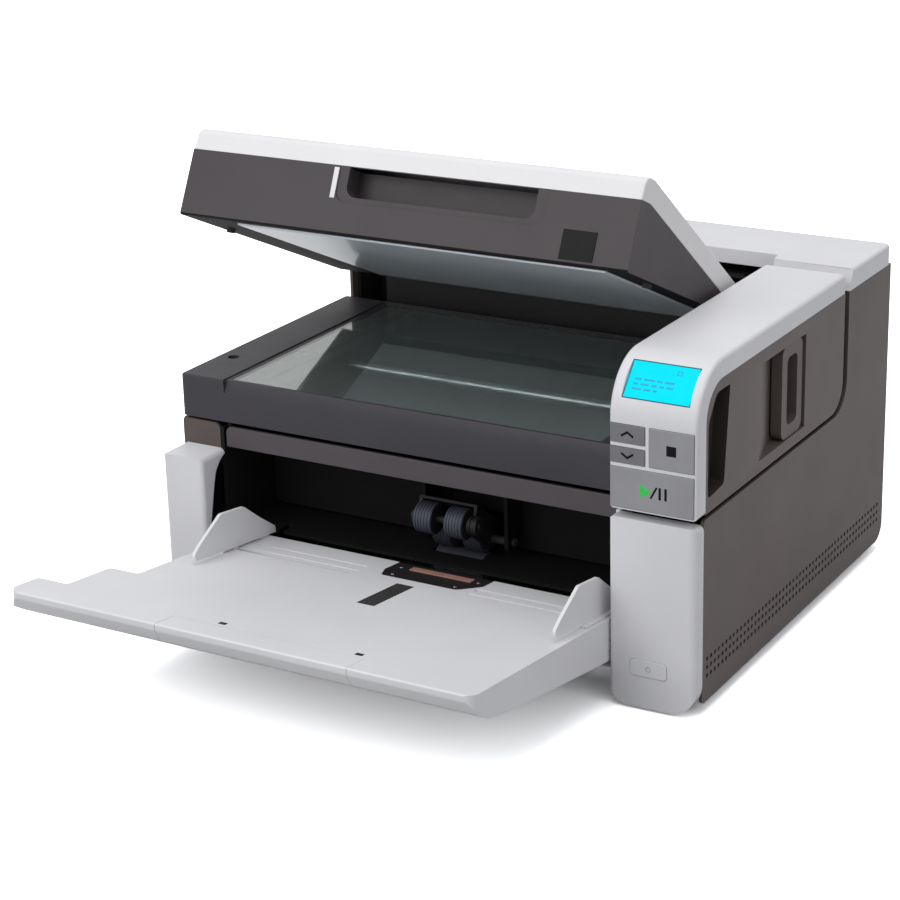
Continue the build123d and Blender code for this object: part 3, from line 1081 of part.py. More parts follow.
PANEL_FRONT = FRONT + ARM_BAND - 1
PANEL_HIGH = ARM_TOP - ARM_BAND
PANEL_CORNERS = [
    (PANEL_FRONT, ARM_BOTTOM),
    (PANEL_FRONT, PANEL_HIGH, ARM_NOSE - ARM_BAND),
    (POD_REAR, PANEL_HIGH),
    (POD_REAR, ARM_BOTTOM, POD_CORNER),
]
BUTTON_TRAVEL = 1.2
KEY_DEEP = 4.5
KEY_PROUD = 0.6
RIB_DEEP = 8.5
with BuildPart() as control_arm_cap:
    side_prism((CAP_X, HALF), arm_profile(0, ARM_BOTTOM))
    fillet(control_arm_cap.faces().sort_by(Axis.X)[-1].edges().sort_by(Axis.Y)[:-2].sort_by(Axis.Z)[1:], 3)
    fillet(control_arm_cap.faces().sort_by(Axis.X)[0].edges().sort_by(Axis.Y)[:-2].sort_by(Axis.Z)[1:], 3)
    side_prism(ARM_INNER, arm_profile(CAP_SKIN, ARM_BOTTOM - 1), Mode.SUBTRACT)
    block((CAP_X - 1, ARM_INNER[0]), deck_y, (ARM_BOTTOM - 1, deck_z[1]), Mode.SUBTRACT)
    side_prism((HALF - CAP_SKIN, HALF + 1), PANEL_CORNERS, Mode.SUBTRACT)
    rib_y = (deep(CAP_SKIN - 0.1), deep(RIB_DEEP))
    block((CAP_X + 1, ARM_INNER[1]), rib_y, (START_TOP, START_TOP + RIB))
    block((KEY_SPLIT - RIB / 2, KEY_SPLIT + RIB / 2), rib_y, (START_TOP, KEY_TOP))
    for x, z in key_openings(0).values():
        key_y = (FRONT - 1, deep(KEY_DEEP + BUTTON_TRAVEL + GAP))
        front_prism(key_y, rectangle(x, z, 0.8), Mode.SUBTRACT)
    with BuildSketch(display_plane(ARM_NOSE - DISPLAY_SINK)) as window:
        Rectangle(DISPLAY_WIDE + 2 * GAP, DISPLAY_TALL + 2 * GAP)
    extrude(window.sketch, amount=10, both=True, mode=Mode.SUBTRACT)
    slot_x = (POD_ARM_X[0] - 1, POD_ARM_X[1] + 1)
    slot_y = (POD_REAR - POD_CORNER - 8, POD_REAR + 1)
    block(slot_x, slot_y, (ARM_BOTTOM - 1, ARM_LEG[1] + 1), Mode.SUBTRACT)
save(control_arm_cap.part, "control_arm_cap")

with BuildPart() as display:
    with BuildSketch(display_plane(ARM_NOSE - DISPLAY_SINK)) as window:
        Rectangle(DISPLAY_WIDE, DISPLAY_TALL)
    extrude(window.sketch, amount=-6)
    with BuildSketch(display_plane(ARM_NOSE - 7.2)) as flange:
        Rectangle(DISPLAY_WIDE + 6, DISPLAY_TALL + 5)
    extrude(flange.sketch, amount=-2)
save(display.part, "display")

with BuildPart() as control_board:
    board_y = (deep(RIB_DEEP), deep(RIB_DEEP + BOARD_THICK))
    block((CAP_X + 4, HALF - 5), board_y, (ARM_BOTTOM + 4, KEY_TOP - 1))
save(control_board.part, "control_board")

for key, (x, z) in key_openings(-GAP).items():
    with BuildPart() as button:
        front_prism((FRONT - KEY_PROUD, deep(KEY_DEEP)), rectangle(x, z, 0.6))
        centre = ((x[0] + x[1]) / 2, (z[0] + z[1]) / 2)
        disc(Plane.XZ.offset(-deep(KEY_DEEP)), KEY_DEEP + BUTTON_TRAVEL + GAP - RIB_DEEP, [centre], 2)
    save(button.part, key)

RECESS = 11.0
SCOOP_Y = (deep(98), deep(140))
HANDLE_Y = (deep(142), deep(178))
HANDLE_Z = (152.5, 220.5)
HANDLE_AXIS_X = HALF - 6
HANDLE_AXIS_Y = HANDLE_Y[1] - 3
POCKET_REAR = HANDLE_Y[1] + 3.5
HANDLE_PIN = 1.5
HANDLE_BAR = 9.0
FLOOR_SKIN = 1.5


def finger_recess(grow):
    """Side outline of the finger recess behind the arm's front band, grown on every side."""
    return [
        (deep(17.5) - grow, 153.5 - grow, 3),
        (deep(43) + grow, 156 - grow, 4),
        (deep(51.4) + grow, 223 + grow, 1.5),
        (deep(30) - grow, 223 + grow, 10),
        (deep(17.5) - grow, 205, 10),
    ]


with BuildPart() as control_arm_panel:
    panel_x = (HALF - CAP_SKIN, HALF - 0.4)
    inset = [
        (PANEL_FRONT + GAP, ARM_BOTTOM),
        (PANEL_FRONT + GAP, PANEL_HIGH - GAP, ARM_NOSE - ARM_BAND - GAP),
        (POD_REAR, PANEL_HIGH - GAP),
        (POD_REAR, ARM_BOTTOM, POD_CORNER),
    ]
    side_prism(panel_x, inset)
    tub_x = (HALF - RECESS - FLOOR_SKIN, HALF - CAP_SKIN)
    side_prism(tub_x, finger_recess(FLOOR_SKIN))
    side_prism((HALF - RECESS, HALF + 1), finger_recess(0), Mode.SUBTRACT)
    block(tub_x, (SCOOP_Y[0] - FLOOR_SKIN, POCKET_REAR + FLOOR_SKIN), (HANDLE_Z[0] - 4, HANDLE_Z[1] + 4))
    ramp = [
        (HALF + 1, SCOOP_Y[0] - 3),
        (HALF - RECESS, SCOOP_Y[1]),
        (HALF - RECESS, POCKET_REAR),
        (HALF + 1, POCKET_REAR),
    ]
    plan_prism((HANDLE_Z[0] - 0.5, HANDLE_Z[1] + 0.5), ramp, Mode.SUBTRACT)
    pin_plane = Plane.XY.offset(HANDLE_Z[0] - 3)
    pin_length = HANDLE_Z[1] - HANDLE_Z[0] + 6
    disc(pin_plane, pin_length, [(HANDLE_AXIS_X, HANDLE_AXIS_Y)], HANDLE_PIN + SHAFT_FIT, Mode.SUBTRACT)
save(control_arm_panel.part, "control_arm_panel")

with BuildPart() as release_handle:
    handle_x = (HALF - RECESS + 1.5, HALF - 1.5)
    side_prism(handle_x, rectangle(HANDLE_Y, HANDLE_Z, 7))
    hole_y = (HANDLE_Y[0] + HANDLE_BAR, HANDLE_Y[1] - HANDLE_BAR)
    hole_z = (HANDLE_Z[0] + HANDLE_BAR, HANDLE_Z[1] - HANDLE_BAR)
    side_prism((HALF - RECESS, HALF), rectangle(hole_y, hole_z, 5), Mode.SUBTRACT)
    pin_plane = Plane.XY.offset(HANDLE_Z[0] - 2.6)
    pin_length = HANDLE_Z[1] - HANDLE_Z[0] + 5.2
    disc(pin_plane, pin_length, [(HANDLE_AXIS_X, HANDLE_AXIS_Y)], HANDLE_PIN)
save(release_handle.part, "release_handle")

# Feed module that hangs in the bay: frame, feed roller on its pivot and pick roller at its nose
PICK_Y = deep(47)
PICK_Z = 89.5
PICK_RADIUS = 11.5
MODULE_PLATES = ((-26.5, -24.0), (18.5, 21.0))
TYRES = ((-23.0, -8.6), (2.4, 16.8))
TYRE_RIBS = 6
RIB_HIGH = 0.5


def ribbed_tyres(y, z, radius):
    """Two rubber tyres side by side with raised ribs round them."""
    for tyre in TYRES:
        rod(tyre, y, z, radius - RIB_HIGH)
        step = (tyre[1] - tyre[0]) / TYRE_RIBS
        for i in range(TYRE_RIBS):
            start = tyre[0] + step * (i + 0.2)
            rod((start, start + step * 0.6), y, z, radius)


def module_corners(*places):
    """Corners given along the line from the pick roller to the feed roller, and out from it."""
    reach = sqrt((FEED_Y - PICK_Y) ** 2 + (FEED_Z - PICK_Z) ** 2)
    back = (FEED_Y - PICK_Y) / reach
    down = (FEED_Z - PICK_Z) / reach
    return [(PICK_Y + back * d - down * h, PICK_Z + down * d + back * h) for d, h in places]


with BuildPart() as feed_module_frame:
    for plate in MODULE_PLATES:
        with BuildSketch(Plane.YZ.offset(plate[0])) as outline:
            with Locations((FEED_Y, FEED_Z)):
                Circle(8)
            with Locations((PICK_Y, PICK_Z)):
                Circle(7)
            make_hull()
        extrude(outline.sketch, amount=plate[1] - plate[0])
        rod((plate[0] - 1, plate[1] + 1), FEED_Y, FEED_Z, FEED_SHAFT + SHAFT_FIT, Mode.SUBTRACT)
        rod((plate[0] - 1, plate[1] + 1), PICK_Y, PICK_Z, FEED_SHAFT + SHAFT_FIT, Mode.SUBTRACT)
    cover = module_corners((-3, 12.5), (-3, 14.5), (36, 14.5), (36, 12.5))
    side_prism((MODULE_PLATES[0][0], MODULE_PLATES[1][1]), cover)
    for plate in MODULE_PLATES:
        side_prism(plate, module_corners((0, 4), (-3, 14.5), (36, 14.5), (34, 4)))
save(feed_module_frame.part, "feed_module_frame")

with BuildPart() as feed_roller:
    rod((MODULE_EARS[0][0] - 2, MODULE_EARS[1][1] + 2), FEED_Y, FEED_Z, FEED_SHAFT)
    ribbed_tyres(FEED_Y, FEED_Z, FEED_RADIUS)
save(feed_roller.part, "feed_roller")

with BuildPart() as pick_roller:
    rod((MODULE_PLATES[0][0] - 3, MODULE_PLATES[1][1] + 6), PICK_Y, PICK_Z, FEED_SHAFT)
    rod((MODULE_PLATES[1][1] + 0.6, MODULE_PLATES[1][1] + 5), PICK_Y, PICK_Z, 7)
    ribbed_tyres(PICK_Y, PICK_Z, PICK_RADIUS)
save(pick_roller.part, "pick_roller")

# Lid, drawn closed and then turned open about the hinge
LID_Z = BED_TOP + 0.8
LID_FRONT = BED_FRONT + 0.4
LID_X = (-HALF, LID_RIGHT)
CAP_EDGE = LID_FRONT_TOP - LID_CAP
SLOPE = tan(radians(LID_SLOPE))
FACE_LEAN = 1.9
PAD_SINK = 1.5
PAD_PROUD = 1.4
LID_BACK = POD_REAR + LID_PAST_POD


def slope_z(y, drop=0):
    """Height of the lid's sloping top at a place behind its flat front part, less a drop."""
    return LID_FRONT_TOP - drop - SLOPE * (y - deep(LID_FLAT))


def opened(piece):
    """Turn a piece drawn with the lid closed to the angle the lid stands at."""
    return piece.rotate(HINGE_AXIS, -LID_OPEN)


SHELL_END = deep(LID_FLAT) + (CAP_EDGE - 0.3 - LID_Z - LID_SKIN) / SLOPE
HANDLE_X = (-89.0, 77.0)
HANDLE_LOW = 198.5
with BuildPart() as lid_lower_shell:
    outline = [
        (LID_FRONT, LID_Z, 2),
        (LID_FRONT + FACE_LEAN, CAP_EDGE - 0.1),
        (deep(LID_FLAT) - 1, CAP_EDGE - 0.3, 6),
        (SHELL_END, LID_Z + LID_SKIN),
        (LID_BACK - 3, LID_Z + LID_SKIN),
        (LID_BACK - 3, LID_Z),
    ]
    side_prism(LID_X, outline)
    hollow = [
        (LID_FRONT + LID_SKIN, LID_Z + LID_SKIN, 1),
        (LID_FRONT + FACE_LEAN + LID_SKIN, CAP_EDGE + 5),
        (SHELL_END, CAP_EDGE + 5),
        (SHELL_END, LID_Z + LID_SKIN),
    ]
    side_prism((LID_X[0] + LID_SKIN, LID_X[1] - LID_SKIN), hollow, Mode.SUBTRACT)
    tub = rectangle((HANDLE_X[0] + 6, HANDLE_X[1] - 6), (HANDLE_LOW + 2.4, CAP_EDGE - 1))
    front_prism((LID_FRONT + LID_SKIN, LID_FRONT + 22), tub)
    pull = [
        (HANDLE_X[0] + 8, HANDLE_LOW + 4.4, 8),
        (HANDLE_X[1] - 8, HANDLE_LOW + 4.4, 8),
        (HANDLE_X[1] - 8, CAP_EDGE + 5),
        (HANDLE_X[0] + 8, CAP_EDGE + 5),
    ]
    front_prism((LID_FRONT - 1, LID_FRONT + 20), pull, Mode.SUBTRACT)
    flare = [
        (HANDLE_X[0], HANDLE_LOW, 9),
        (HANDLE_X[1], HANDLE_LOW, 9),
        (HANDLE_X[1], CAP_EDGE + 5),
        (HANDLE_X[0], CAP_EDGE + 5),
    ]
    front_prism((LID_FRONT - 1, LID_FRONT + 2.2), flare, Mode.SUBTRACT)
    pad_x = (GLASS_X[0] + 3, GLASS_X[1] - 3)
    pad_y = (GLASS_Y[0] + 3, GLASS_Y[1] - 3)
    block(pad_x, pad_y, (LID_Z - 1, LID_Z + PAD_SINK), Mode.SUBTRACT)
    disc(Plane.XY.offset(LID_Z), PAD_SINK, BUMPERS, 3.2, Mode.SUBTRACT)
save(opened(lid_lower_shell.part), "lid_lower_shell")

with BuildPart() as lid_top_cover:
    outline = [
        (LID_FRONT + FACE_LEAN, CAP_EDGE),
        (LID_FRONT + FACE_LEAN + 2.4, LID_FRONT_TOP, 7),
        (deep(LID_FLAT), LID_FRONT_TOP, 10),
        (LID_BACK, slope_z(LID_BACK), 3),
        (LID_BACK, LID_Z + LID_SKIN + 0.2),
        (SHELL_END + 1, LID_Z + LID_SKIN + 0.2),
        (deep(LID_FLAT) - 1, CAP_EDGE, 6),
    ]
    side_prism(LID_X, outline)
    top_ends = lid_top_cover.faces().sort_by(Axis.X)
    fillet(top_ends[0].edges().sort_by(Axis.Z)[-4:-1] + top_ends[-1].edges().sort_by(Axis.Z)[-4:-1], 1.5)
    hollow = [
        (LID_FRONT + FACE_LEAN + LID_SKIN, LID_Z),
        (LID_FRONT + FACE_LEAN + LID_SKIN + 2, LID_FRONT_TOP - LID_SKIN, 5),
        (deep(LID_FLAT) - 0.3, LID_FRONT_TOP - LID_SKIN, 6),
        (LID_BACK - LID_SKIN, slope_z(LID_BACK - LID_SKIN, LID_SKIN + 0.1)),
        (LID_BACK - LID_SKIN, LID_Z),
    ]
    side_prism((LID_X[0] + LID_SKIN, LID_X[1] - LID_SKIN), hollow, Mode.SUBTRACT)
    relief_y = (LID_BACK - 4, LID_BACK + 1)
    relief_z = (LID_Z, LID_Z + LID_SKIN + 8)
    for arm in LID_ARMS:
        block((arm[0] - 0.5, arm[1] + 0.5), relief_y, relief_z, Mode.SUBTRACT)
save(opened(lid_top_cover.part), "lid_top_cover")

with BuildPart() as platen_backing_pad:
    block(pad_x, pad_y, (LID_Z - PAD_PROUD, LID_Z + PAD_SINK))
save(opened(platen_backing_pad.part), "platen_backing_pad")

with BuildPart() as lid_bumpers:
    disc(Plane.XY.offset(LID_Z - BUMPER_DROP), BUMPER_DROP + PAD_SINK, BUMPERS, 3.2)
save(opened(lid_bumpers.part), "lid_bumpers")

LID_LEG = (LID_Z + LID_SKIN, LID_Z + LID_SKIN + 7)
with BuildPart() as lid_hinge_arms:
    for limits in LID_ARMS:
        arm = [
            (POD_REAR - 27, LID_LEG[0]),
            (HINGE_Y + 7, LID_LEG[0], 5),
            (HINGE_Y + 7, HINGE_Z),
            (HINGE_Y - 7, HINGE_Z),
            (HINGE_Y - 7, LID_LEG[1], 3),
            (POD_REAR - 27, LID_LEG[1]),
        ]
        side_prism(limits, arm)
        rod(limits, HINGE_Y, HINGE_Z, 8)
        rod((limits[0] - 1, limits[1] + 1), HINGE_Y, HINGE_Z, SHAFT_RADIUS + SHAFT_FIT, Mode.SUBTRACT)
save(opened(lid_hinge_arms.part), "lid_hinge_arms")

BADGE_WIDE = 25.3
BADGE_TALL = 20.5
BADGE_THICK = 0.6
BADGE_X = 94.0
BADGE_Z = 178.7
with BuildPart() as badge_plate:
    lean = FACE_LEAN / (CAP_EDGE - LID_Z)
    low = LID_FRONT + lean * (BADGE_Z - LID_Z)
    high = LID_FRONT + lean * (BADGE_Z + BADGE_TALL - LID_Z)
    outline = [
        (low, BADGE_Z),
        (high, BADGE_Z + BADGE_TALL),
        (high - BADGE_THICK, BADGE_Z + BADGE_TALL),
        (low - BADGE_THICK, BADGE_Z),
    ]
    side_prism((BADGE_X, BADGE_X + BADGE_WIDE), outline)
save(opened(badge_plate.part), "badge_plate")
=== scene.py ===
"""Looks of a document scanner: finishes, softened casings, prints and small fittings."""

import json
import logging
import math
from dataclasses import dataclass, field
from enum import Enum
from typing import Callable, Iterable, Sequence

import bpy
from mathutils import Matrix, Vector

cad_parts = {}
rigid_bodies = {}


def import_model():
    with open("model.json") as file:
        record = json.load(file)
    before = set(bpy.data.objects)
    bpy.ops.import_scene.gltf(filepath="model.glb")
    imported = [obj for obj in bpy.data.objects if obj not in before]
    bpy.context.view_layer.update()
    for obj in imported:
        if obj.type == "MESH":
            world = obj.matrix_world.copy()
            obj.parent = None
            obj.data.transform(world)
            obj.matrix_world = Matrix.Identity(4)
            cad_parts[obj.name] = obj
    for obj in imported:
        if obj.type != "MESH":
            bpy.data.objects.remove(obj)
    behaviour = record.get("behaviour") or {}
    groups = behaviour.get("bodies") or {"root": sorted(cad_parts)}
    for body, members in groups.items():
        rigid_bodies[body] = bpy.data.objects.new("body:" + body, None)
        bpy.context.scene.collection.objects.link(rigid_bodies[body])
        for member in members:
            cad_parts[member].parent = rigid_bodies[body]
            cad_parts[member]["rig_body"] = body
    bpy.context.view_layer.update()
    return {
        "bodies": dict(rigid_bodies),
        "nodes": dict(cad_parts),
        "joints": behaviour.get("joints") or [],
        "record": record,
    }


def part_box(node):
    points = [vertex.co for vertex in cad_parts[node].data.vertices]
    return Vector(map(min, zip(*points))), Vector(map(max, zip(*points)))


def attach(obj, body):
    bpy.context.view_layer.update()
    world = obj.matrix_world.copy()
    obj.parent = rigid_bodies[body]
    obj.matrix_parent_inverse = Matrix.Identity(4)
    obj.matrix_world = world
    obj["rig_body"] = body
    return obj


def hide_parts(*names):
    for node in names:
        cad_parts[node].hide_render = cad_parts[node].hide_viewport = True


LOG = logging.getLogger("scanner")
MM = 0.001
FACING_FRONT = (math.radians(90), 0, 0)  # turns a flat ring or disc to face the front
WAVE_PERIOD = 0.314  # length of one band of a wave texture at scale 1, in metres
CELLS_PER_TRACK = 0.4  # voronoi cells to the width of a track
Piece = bpy.types.Object
Graph = bpy.types.NodeTree
Socket = bpy.types.NodeSocket
Colour = tuple[float, float, float, float]
Triple = tuple[float, float, float]
Test = Callable[[Vector, Vector], bool]


class Slot(str, Enum):
    """The record's material slots, passed along with each new piece."""

    LIGHT = "light_plastic"
    SIDE = "side_plastic"
    BED = "bed_plastic"
    BLACK = "black_plastic"
    WHITE = "lid_white"
    LID = "lid_grey"
    KEY = "key_plastic"
    RUBBER = "black_rubber"
    ROLLER = "roller_rubber"
    STEEL = "steel"
    GLASS = "platen_glass"
    WINDOW = "display_window"
    FILM = "backing_white"
    BADGE = "badge_black"


def linear(code: str) -> Colour:
    """Turn an sRGB hex colour into linear light.

    Args:
        code: the colour as "#RRGGBB".

    Returns:
        Red, green, blue and a full alpha.
    """
    channels = [int(code[i:i + 2], 16) / 255 for i in (1, 3, 5)]
    red, green, blue = (
        c / 12.92 if c <= 0.04045 else ((c + 0.055) / 1.055) ** 2.4 for c in channels
    )
    return red, green, blue, 1.0


def mm(*values: float) -> tuple[float, ...]:
    """Turn lengths in millimetres into metres."""
    return tuple(value * MM for value in values)


def add_node(tree: Graph, kind: str, settings: dict | None = None,
             links: dict | None = None) -> bpy.types.Node:
    """Add a node with its settings and links.

    Args:
        tree: the node tree to add it to.
        kind: Blender's name of the node's type.
        settings: values by input name, or by a dotted attribute path.
        links: output sockets by input name.

    Returns:
        The new node.
    """
    node = tree.nodes.new(kind)
    for key, value in (settings or {}).items():
        if key in node.inputs.keys():
            node.inputs[key].default_value = value
            continue
        owner, path = node, key.split(".")
        for step in path[:-1]:
            owner = owner[int(step)] if step.isdigit() else getattr(owner, step)
        setattr(owner, path[-1], value)
    for key, socket in (links or {}).items():
        tree.links.new(socket, node.inputs[key])
    return node


@dataclass(frozen=True)
class Finish:
    """A moulded plastic, and what the other finishes build on.

    Attributes:
        name: the material's name, for its substance and how its surface was made.
        colour: its main colour.
        shade: the colour that it drifts to.
        roughness: its mean roughness.
        patch_mm: size of its large soft patches.
        grain_mm: spacing of the fine texture.
        grain_depth_mm: height of the fine texture.
        shine: how strongly the surface mirrors, less for a coarse one.
        spread: how far the roughness strays from its mean.
    """

    name: str
    colour: str
    shade: str
    roughness: float = 0.5
    patch_mm: float = 70.0
    grain_mm: float = 0.9
    grain_depth_mm: float = 0.02
    shine: float = 0.5
    spread: float = 0.06

    def build(self) -> bpy.types.Material:
        """Build the node material.

        Returns:
            The material.
        """
        material = bpy.data.materials.new(self.name)
        material.use_nodes = True
        tree = material.node_tree
        tree.nodes.clear()
        place = add_node(tree, "ShaderNodeTexCoord").outputs["Object"]
        add_node(tree, "ShaderNodeOutputMaterial", None, {"Surface": self.surface(tree, place)})
        return material

    def surface(self, tree: Graph, place: Socket) -> Socket:
        """Add the shader with its colour, roughness and bump.

        Args:
            tree: the material's tree.
            place: object coordinates.

        Returns:
            The shader's socket.
        """
        colour, height = self.pattern(tree, place)
        depth = {"Distance": self.grain_depth_mm * MM}
        bump = add_node(tree, "ShaderNodeBump", depth, {"Height": height}).outputs["Normal"]
        links = {"Base Color": colour, "Roughness": self.gloss(tree, place), "Normal": bump}
        settings = self.settings()
        if settings.get("Emission Strength"):
            links["Emission Color"] = colour
        return add_node(tree, "ShaderNodeBsdfPrincipled", settings, links).outputs["BSDF"]

    def settings(self) -> dict:
        """The shader's plain values."""
        return {"IOR": 1.5, "Specular IOR Level": self.shine}

    def pattern(self, tree: Graph, place: Socket) -> tuple[Socket, Socket]:
        """Add the colour and the height of the fine texture."""
        return self.tone(tree, place), self.texture(tree, place)

    def tone(self, tree: Graph, place: Socket) -> Socket:
        """Drift between the two colours in soft patches.

        Args:
            tree: the material's tree.
            place: object coordinates.

        Returns:
            The colour socket.
        """
        settings = {"Scale": 1 / (self.patch_mm * MM), "Detail": 3.0, "Roughness": 0.55}
        cloud = add_node(tree, "ShaderNodeTexNoise", settings, {"Vector": place})
        return self.blend(tree, cloud.outputs["Fac"], 0.3, 0.7)

    def blend(self, tree: Graph, share: Socket, low: float, high: float) -> Socket:
        """Go from the shade to the main colour as a share rises.

        Args:
            tree: the material's tree.
            share: the share, from 0 to 1.
            low: up to here all is the shade.
            high: from here on all is the main colour.

        Returns:
            The colour socket.
        """
        settings = {
            "color_ramp.elements.0.position": low,
            "color_ramp.elements.0.color": linear(self.shade),
            "color_ramp.elements.1.position": high,
            "color_ramp.elements.1.color": linear(self.colour),
        }
        ramp = add_node(tree, "ShaderNodeValToRGB", settings, {"Fac": share})
        return ramp.outputs["Color"]

    def gloss(self, tree: Graph, place: Socket) -> Socket:
        """Vary the roughness a little, as handling does.

        Args:
            tree: the material's tree.
            place: object coordinates.

        Returns:
            The roughness socket.
        """
        fineness = 2.7 / (self.patch_mm * MM)
        settings = {"Scale": fineness, "Detail": 5.0, "Roughness": 0.6}
        smear = add_node(tree, "ShaderNodeTexNoise", settings, {"Vector": place})
        limits = {"To Min": self.roughness - self.spread, "To Max": self.roughness + self.spread}
        mapped = add_node(tree, "ShaderNodeMapRange", limits, {"Value": smear.outputs["Fac"]})
        return mapped.outputs["Result"]

    def texture(self, tree: Graph, place: Socket) -> Socket:
        """The fine texture of the surface, as height."""
        settings = {"Scale": 1 / (self.grain_mm * MM), "Detail": 2.0, "Roughness": 0.7}
        return add_node(tree, "ShaderNodeTexNoise", settings, {"Vector": place}).outputs["Fac"]


@dataclass(frozen=True)
class PolishedPlastic(Finish):
    """A plastic with a thin glossy layer, such as a laminated film.

    Attributes:
        coat: weight of the clear layer.
    """

    spread: float = 0.03
    coat: float = 0.6

    def settings(self) -> dict:
        """A plastic under a clear layer."""
        return {"IOR": 1.49, "Coat Weight": self.coat, "Coat Roughness": 0.05}


@dataclass(frozen=True)
class BrushedMetal(Finish):
    """Metal drawn or brushed along one axis, so that its lines stretch that way.

    Attributes:
        stretch: scale of the pattern along X, Y and Z, small along the lines.
    """

    spread: float = 0.08
    stretch: Triple = (0.03, 1.0, 1.0)

    def settings(self) -> dict:
        """A bare metal."""
        return {"Metallic": 1.0}

    def pattern(self, tree: Graph, place: Socket) -> tuple[Socket, Socket]:
        """Add the colour and the stretched lines."""
        turned = add_node(tree, "ShaderNodeMapping", {"Scale": self.stretch}, {"Vector": place})
        return self.tone(tree, place), self.texture(tree, turned.outputs["Vector"])


@dataclass(frozen=True)
class RibbedRubber(Finish):
    """Soft rubber with ground lines that run round an axle along X.

    Attributes:
        line_mm: spacing of the lines.
    """

    line_mm: float = 1.1

    def settings(self) -> dict:
        """A rubber, a little denser than plastic to light."""
        return {"IOR": 1.52}

    def pattern(self, tree: Graph, place: Socket) -> tuple[Socket, Socket]:
        """Add darker lines round the axle.

        Args:
            tree: the material's tree.
            place: object coordinates.

        Returns:
            The colour and the height.
        """
        settings = {
            "wave_type": "BANDS",
            "bands_direction": "X",
            "Scale": WAVE_PERIOD / (self.line_mm * MM),
            "Distortion": 0.0,
        }
        wave = add_node(tree, "ShaderNodeTexWave", settings, {"Vector": place}).outputs["Fac"]
        return self.blend(tree, wave, 0.1, 0.55), wave


@dataclass(frozen=True)
class FloatGlass(Finish):
    """Clear soda-lime glass with a faint green tint and very slight smears."""

    spread: float = 0.012

    def settings(self) -> dict:
        """A clear glass that still shows a little of its own colour."""
        return {"IOR": 1.52, "Transmission Weight": 0.93}


@dataclass(frozen=True)
class SolderMask(Finish):
    """Green solder mask over copper tracks, seen as lighter lines.

    Attributes:
        track_mm: width of a track with its gap.
    """

    track_mm: float = 2.4

    def settings(self) -> dict:
        """A glossy resin."""
        return {"IOR": 1.5}

    def pattern(self, tree: Graph, place: Socket) -> tuple[Socket, Socket]:
        """Add the tracks.

        Args:
            tree: the material's tree.
            place: object coordinates.

        Returns:
            The colour and the height.
        """
        settings = {
            "feature": "DISTANCE_TO_EDGE",
            "Scale": CELLS_PER_TRACK / (self.track_mm * MM),
            "Randomness": 0.75,
        }
        cells = add_node(tree, "ShaderNodeTexVoronoi", settings, {"Vector": place})
        distance = cells.outputs["Distance"]
        return self.blend(tree, distance, 0.04, 0.08), distance


@dataclass(frozen=True)
class Ink(Finish):
    """Screen-printed ink, slightly raised and matt.

    Attributes:
        glow: light of its own: backlight on the display, painted light on the green print.
    """

    glow: float = 0.0

    def settings(self) -> dict:
        """An ink with its light."""
        return {"Emission Strength": self.glow, "Specular IOR Level": self.shine}


@dataclass(frozen=True)
class LitScreen(Ink):
    """A display that is evenly lit from behind."""

    spread: float = 0.03
    glow: float = 0.66


@dataclass(frozen=True)
class StudioPaper(Finish):
    """Seamless paper that looks plain white, with its shadows kept.

    Attributes:
        seen: extra brightness where the camera looks at it.
        mirrored: extra brightness in reflections and through glass.
    """

    seen: float = 7.0
    mirrored: float = 3.1

    def surface(self, tree: Graph, place: Socket) -> Socket:
        """Add a matt shader that is brighter to some rays.

        Args:
            tree: the material's tree.
            place: object coordinates.

        Returns:
            The shader's socket.
        """
        ray = add_node(tree, "ShaderNodeLightPath")
        gain = add_node(tree, "ShaderNodeValue", {"outputs.0.default_value": 1.0}).outputs["Value"]
        gains = {"Camera": self.seen, "Glossy": self.mirrored, "Transmission": self.mirrored}
        for kind, extra in gains.items():
            settings = {"operation": "MULTIPLY_ADD", "inputs.1.default_value": extra}
            links = {0: ray.outputs[f"Is {kind} Ray"], 2: gain}
            gain = add_node(tree, "ShaderNodeMath", settings, links).outputs["Value"]
        links = {"Vector": self.tone(tree, place), "Scale": gain}
        bright = add_node(tree, "ShaderNodeVectorMath", {"operation": "SCALE"}, links)
        shader = add_node(tree, "ShaderNodeBsdfDiffuse", None, {"Color": bright.outputs["Vector"]})
        return shader.outputs["BSDF"]


